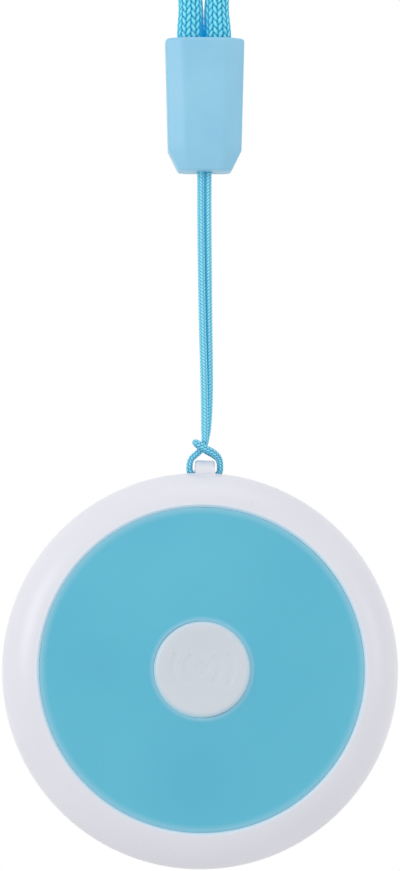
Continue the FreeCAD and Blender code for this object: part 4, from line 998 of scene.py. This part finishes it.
# Charging contacts, their pins and the second aerial: the contacts in the cover and the sprung
# pins behind them are turned brass with gilt on it, and the aerial is a strip of brown film bent
# against the inside of the rim.
GILT = (0.86, 0.62, 0.24)
GILT_DULL = (0.74, 0.5, 0.17)
AERIAL_BROWN = (0.33, 0.18, 0.05)
AERIAL_LIGHT = (0.42, 0.24, 0.07)
gilt = metal("contact_gilt_skin", GILT, GILT_DULL, satin=0.22)
dress("charge_contacts", gilt)
dress("contact_pins", gilt)
dress("cellular_antenna", plastic("aerial_film", AERIAL_BROWN, AERIAL_LIGHT, satin=0.4))

# Case screws: four self-tapping steel screws with cross recesses. They are sunk in the back cover
# and draw it to the housing's posts.
SCREW_STEEL = (0.56, 0.56, 0.58)
SCREW_DULL = (0.42, 0.42, 0.44)
dress("case_screws", metal("screw_steel_head", SCREW_STEEL, SCREW_DULL, satin=0.3))

# Studio: a pale floor well under the hanging pendant, a white surround, and soft lamps at the
# upper left, at the right and above. The surround is plain white wherever it is seen or mirrored.
# A lamp is its name, its place, its width and its power, in metres and watts.
FLOOR_LEVEL = -1.2
FLOOR_HALF = 3.0
FLOOR_PALE = (0.93, 0.93, 0.93)
FLOOR_PALER = (0.96, 0.96, 0.96)
FLOOR_CLOUDS = 3.0
SURROUND_LIGHT = 0.765
SURROUND_WHITE = (1.0, 1.0, 1.0)
LAMP_AIM = Vector((0, 0, -0.12))
LAMPS = (("left_lamp", (-1.0, -0.6, 0.22), 0.6, 3.2),
         ("right_lamp", (0.85, -0.5, 0.05), 0.45, 0.8),
         ("top_lamp", (0.1, -0.25, 0.75), 0.5, 0.5))

corners = [(-FLOOR_HALF, -FLOOR_HALF, FLOOR_LEVEL), (FLOOR_HALF, -FLOOR_HALF, FLOOR_LEVEL),
           (FLOOR_HALF, FLOOR_HALF, FLOOR_LEVEL), (-FLOOR_HALF, FLOOR_HALF, FLOOR_LEVEL)]
floor_mesh = bpy.data.meshes.new("floor")
floor_mesh.from_pydata(corners, [], [(0, 1, 2, 3)])
floor = bpy.data.objects.new("floor", floor_mesh)
scene.collection.objects.link(floor)
floor_paint, floor_tree, floor_shader = material("floor_paint", Roughness=0.9,
                                                 Specular_IOR_Level=0.1)
floor_cloud = noise(floor_tree, add(floor_tree, "TexCoord").outputs["Object"], FLOOR_CLOUDS)
floor_tree.links.new(mix(floor_tree, floor_cloud, opaque(FLOOR_PALE), opaque(FLOOR_PALER)),
                     floor_shader.inputs["Base Color"])
floor_mesh.materials.append(floor_paint)

surround = bpy.data.worlds.new("surround")
surround.use_nodes = True
scene.world = surround
sky = surround.node_tree
path = add(sky, "LightPath")
seen = add(sky, "Math", {"operation": "MAXIMUM"}, i0=path.outputs["Is Camera Ray"],
           i1=path.outputs["Is Glossy Ray"]).outputs[0]
seen = add(sky, "Math", {"operation": "MAXIMUM"}, i0=seen,
           i1=path.outputs["Is Transmission Ray"]).outputs[0]
sky.links.new(between(sky, seen, 0.0, 1.0, SURROUND_LIGHT, 1.0),
              sky.nodes["Background"].inputs["Strength"])
sky.nodes["Background"].inputs["Color"].default_value = opaque(SURROUND_WHITE)

for lamp_name, place, width, power in LAMPS:
    lamp = bpy.data.objects.new(lamp_name, bpy.data.lights.new(lamp_name, "AREA"))
    lamp.data.size = width
    lamp.data.energy = power
    lamp.location = place
    lamp.rotation_mode = "QUATERNION"
    lamp.rotation_quaternion = (LAMP_AIM - Vector(place)).to_track_quat("-Z", "Y")
    scene.collection.objects.link(lamp)
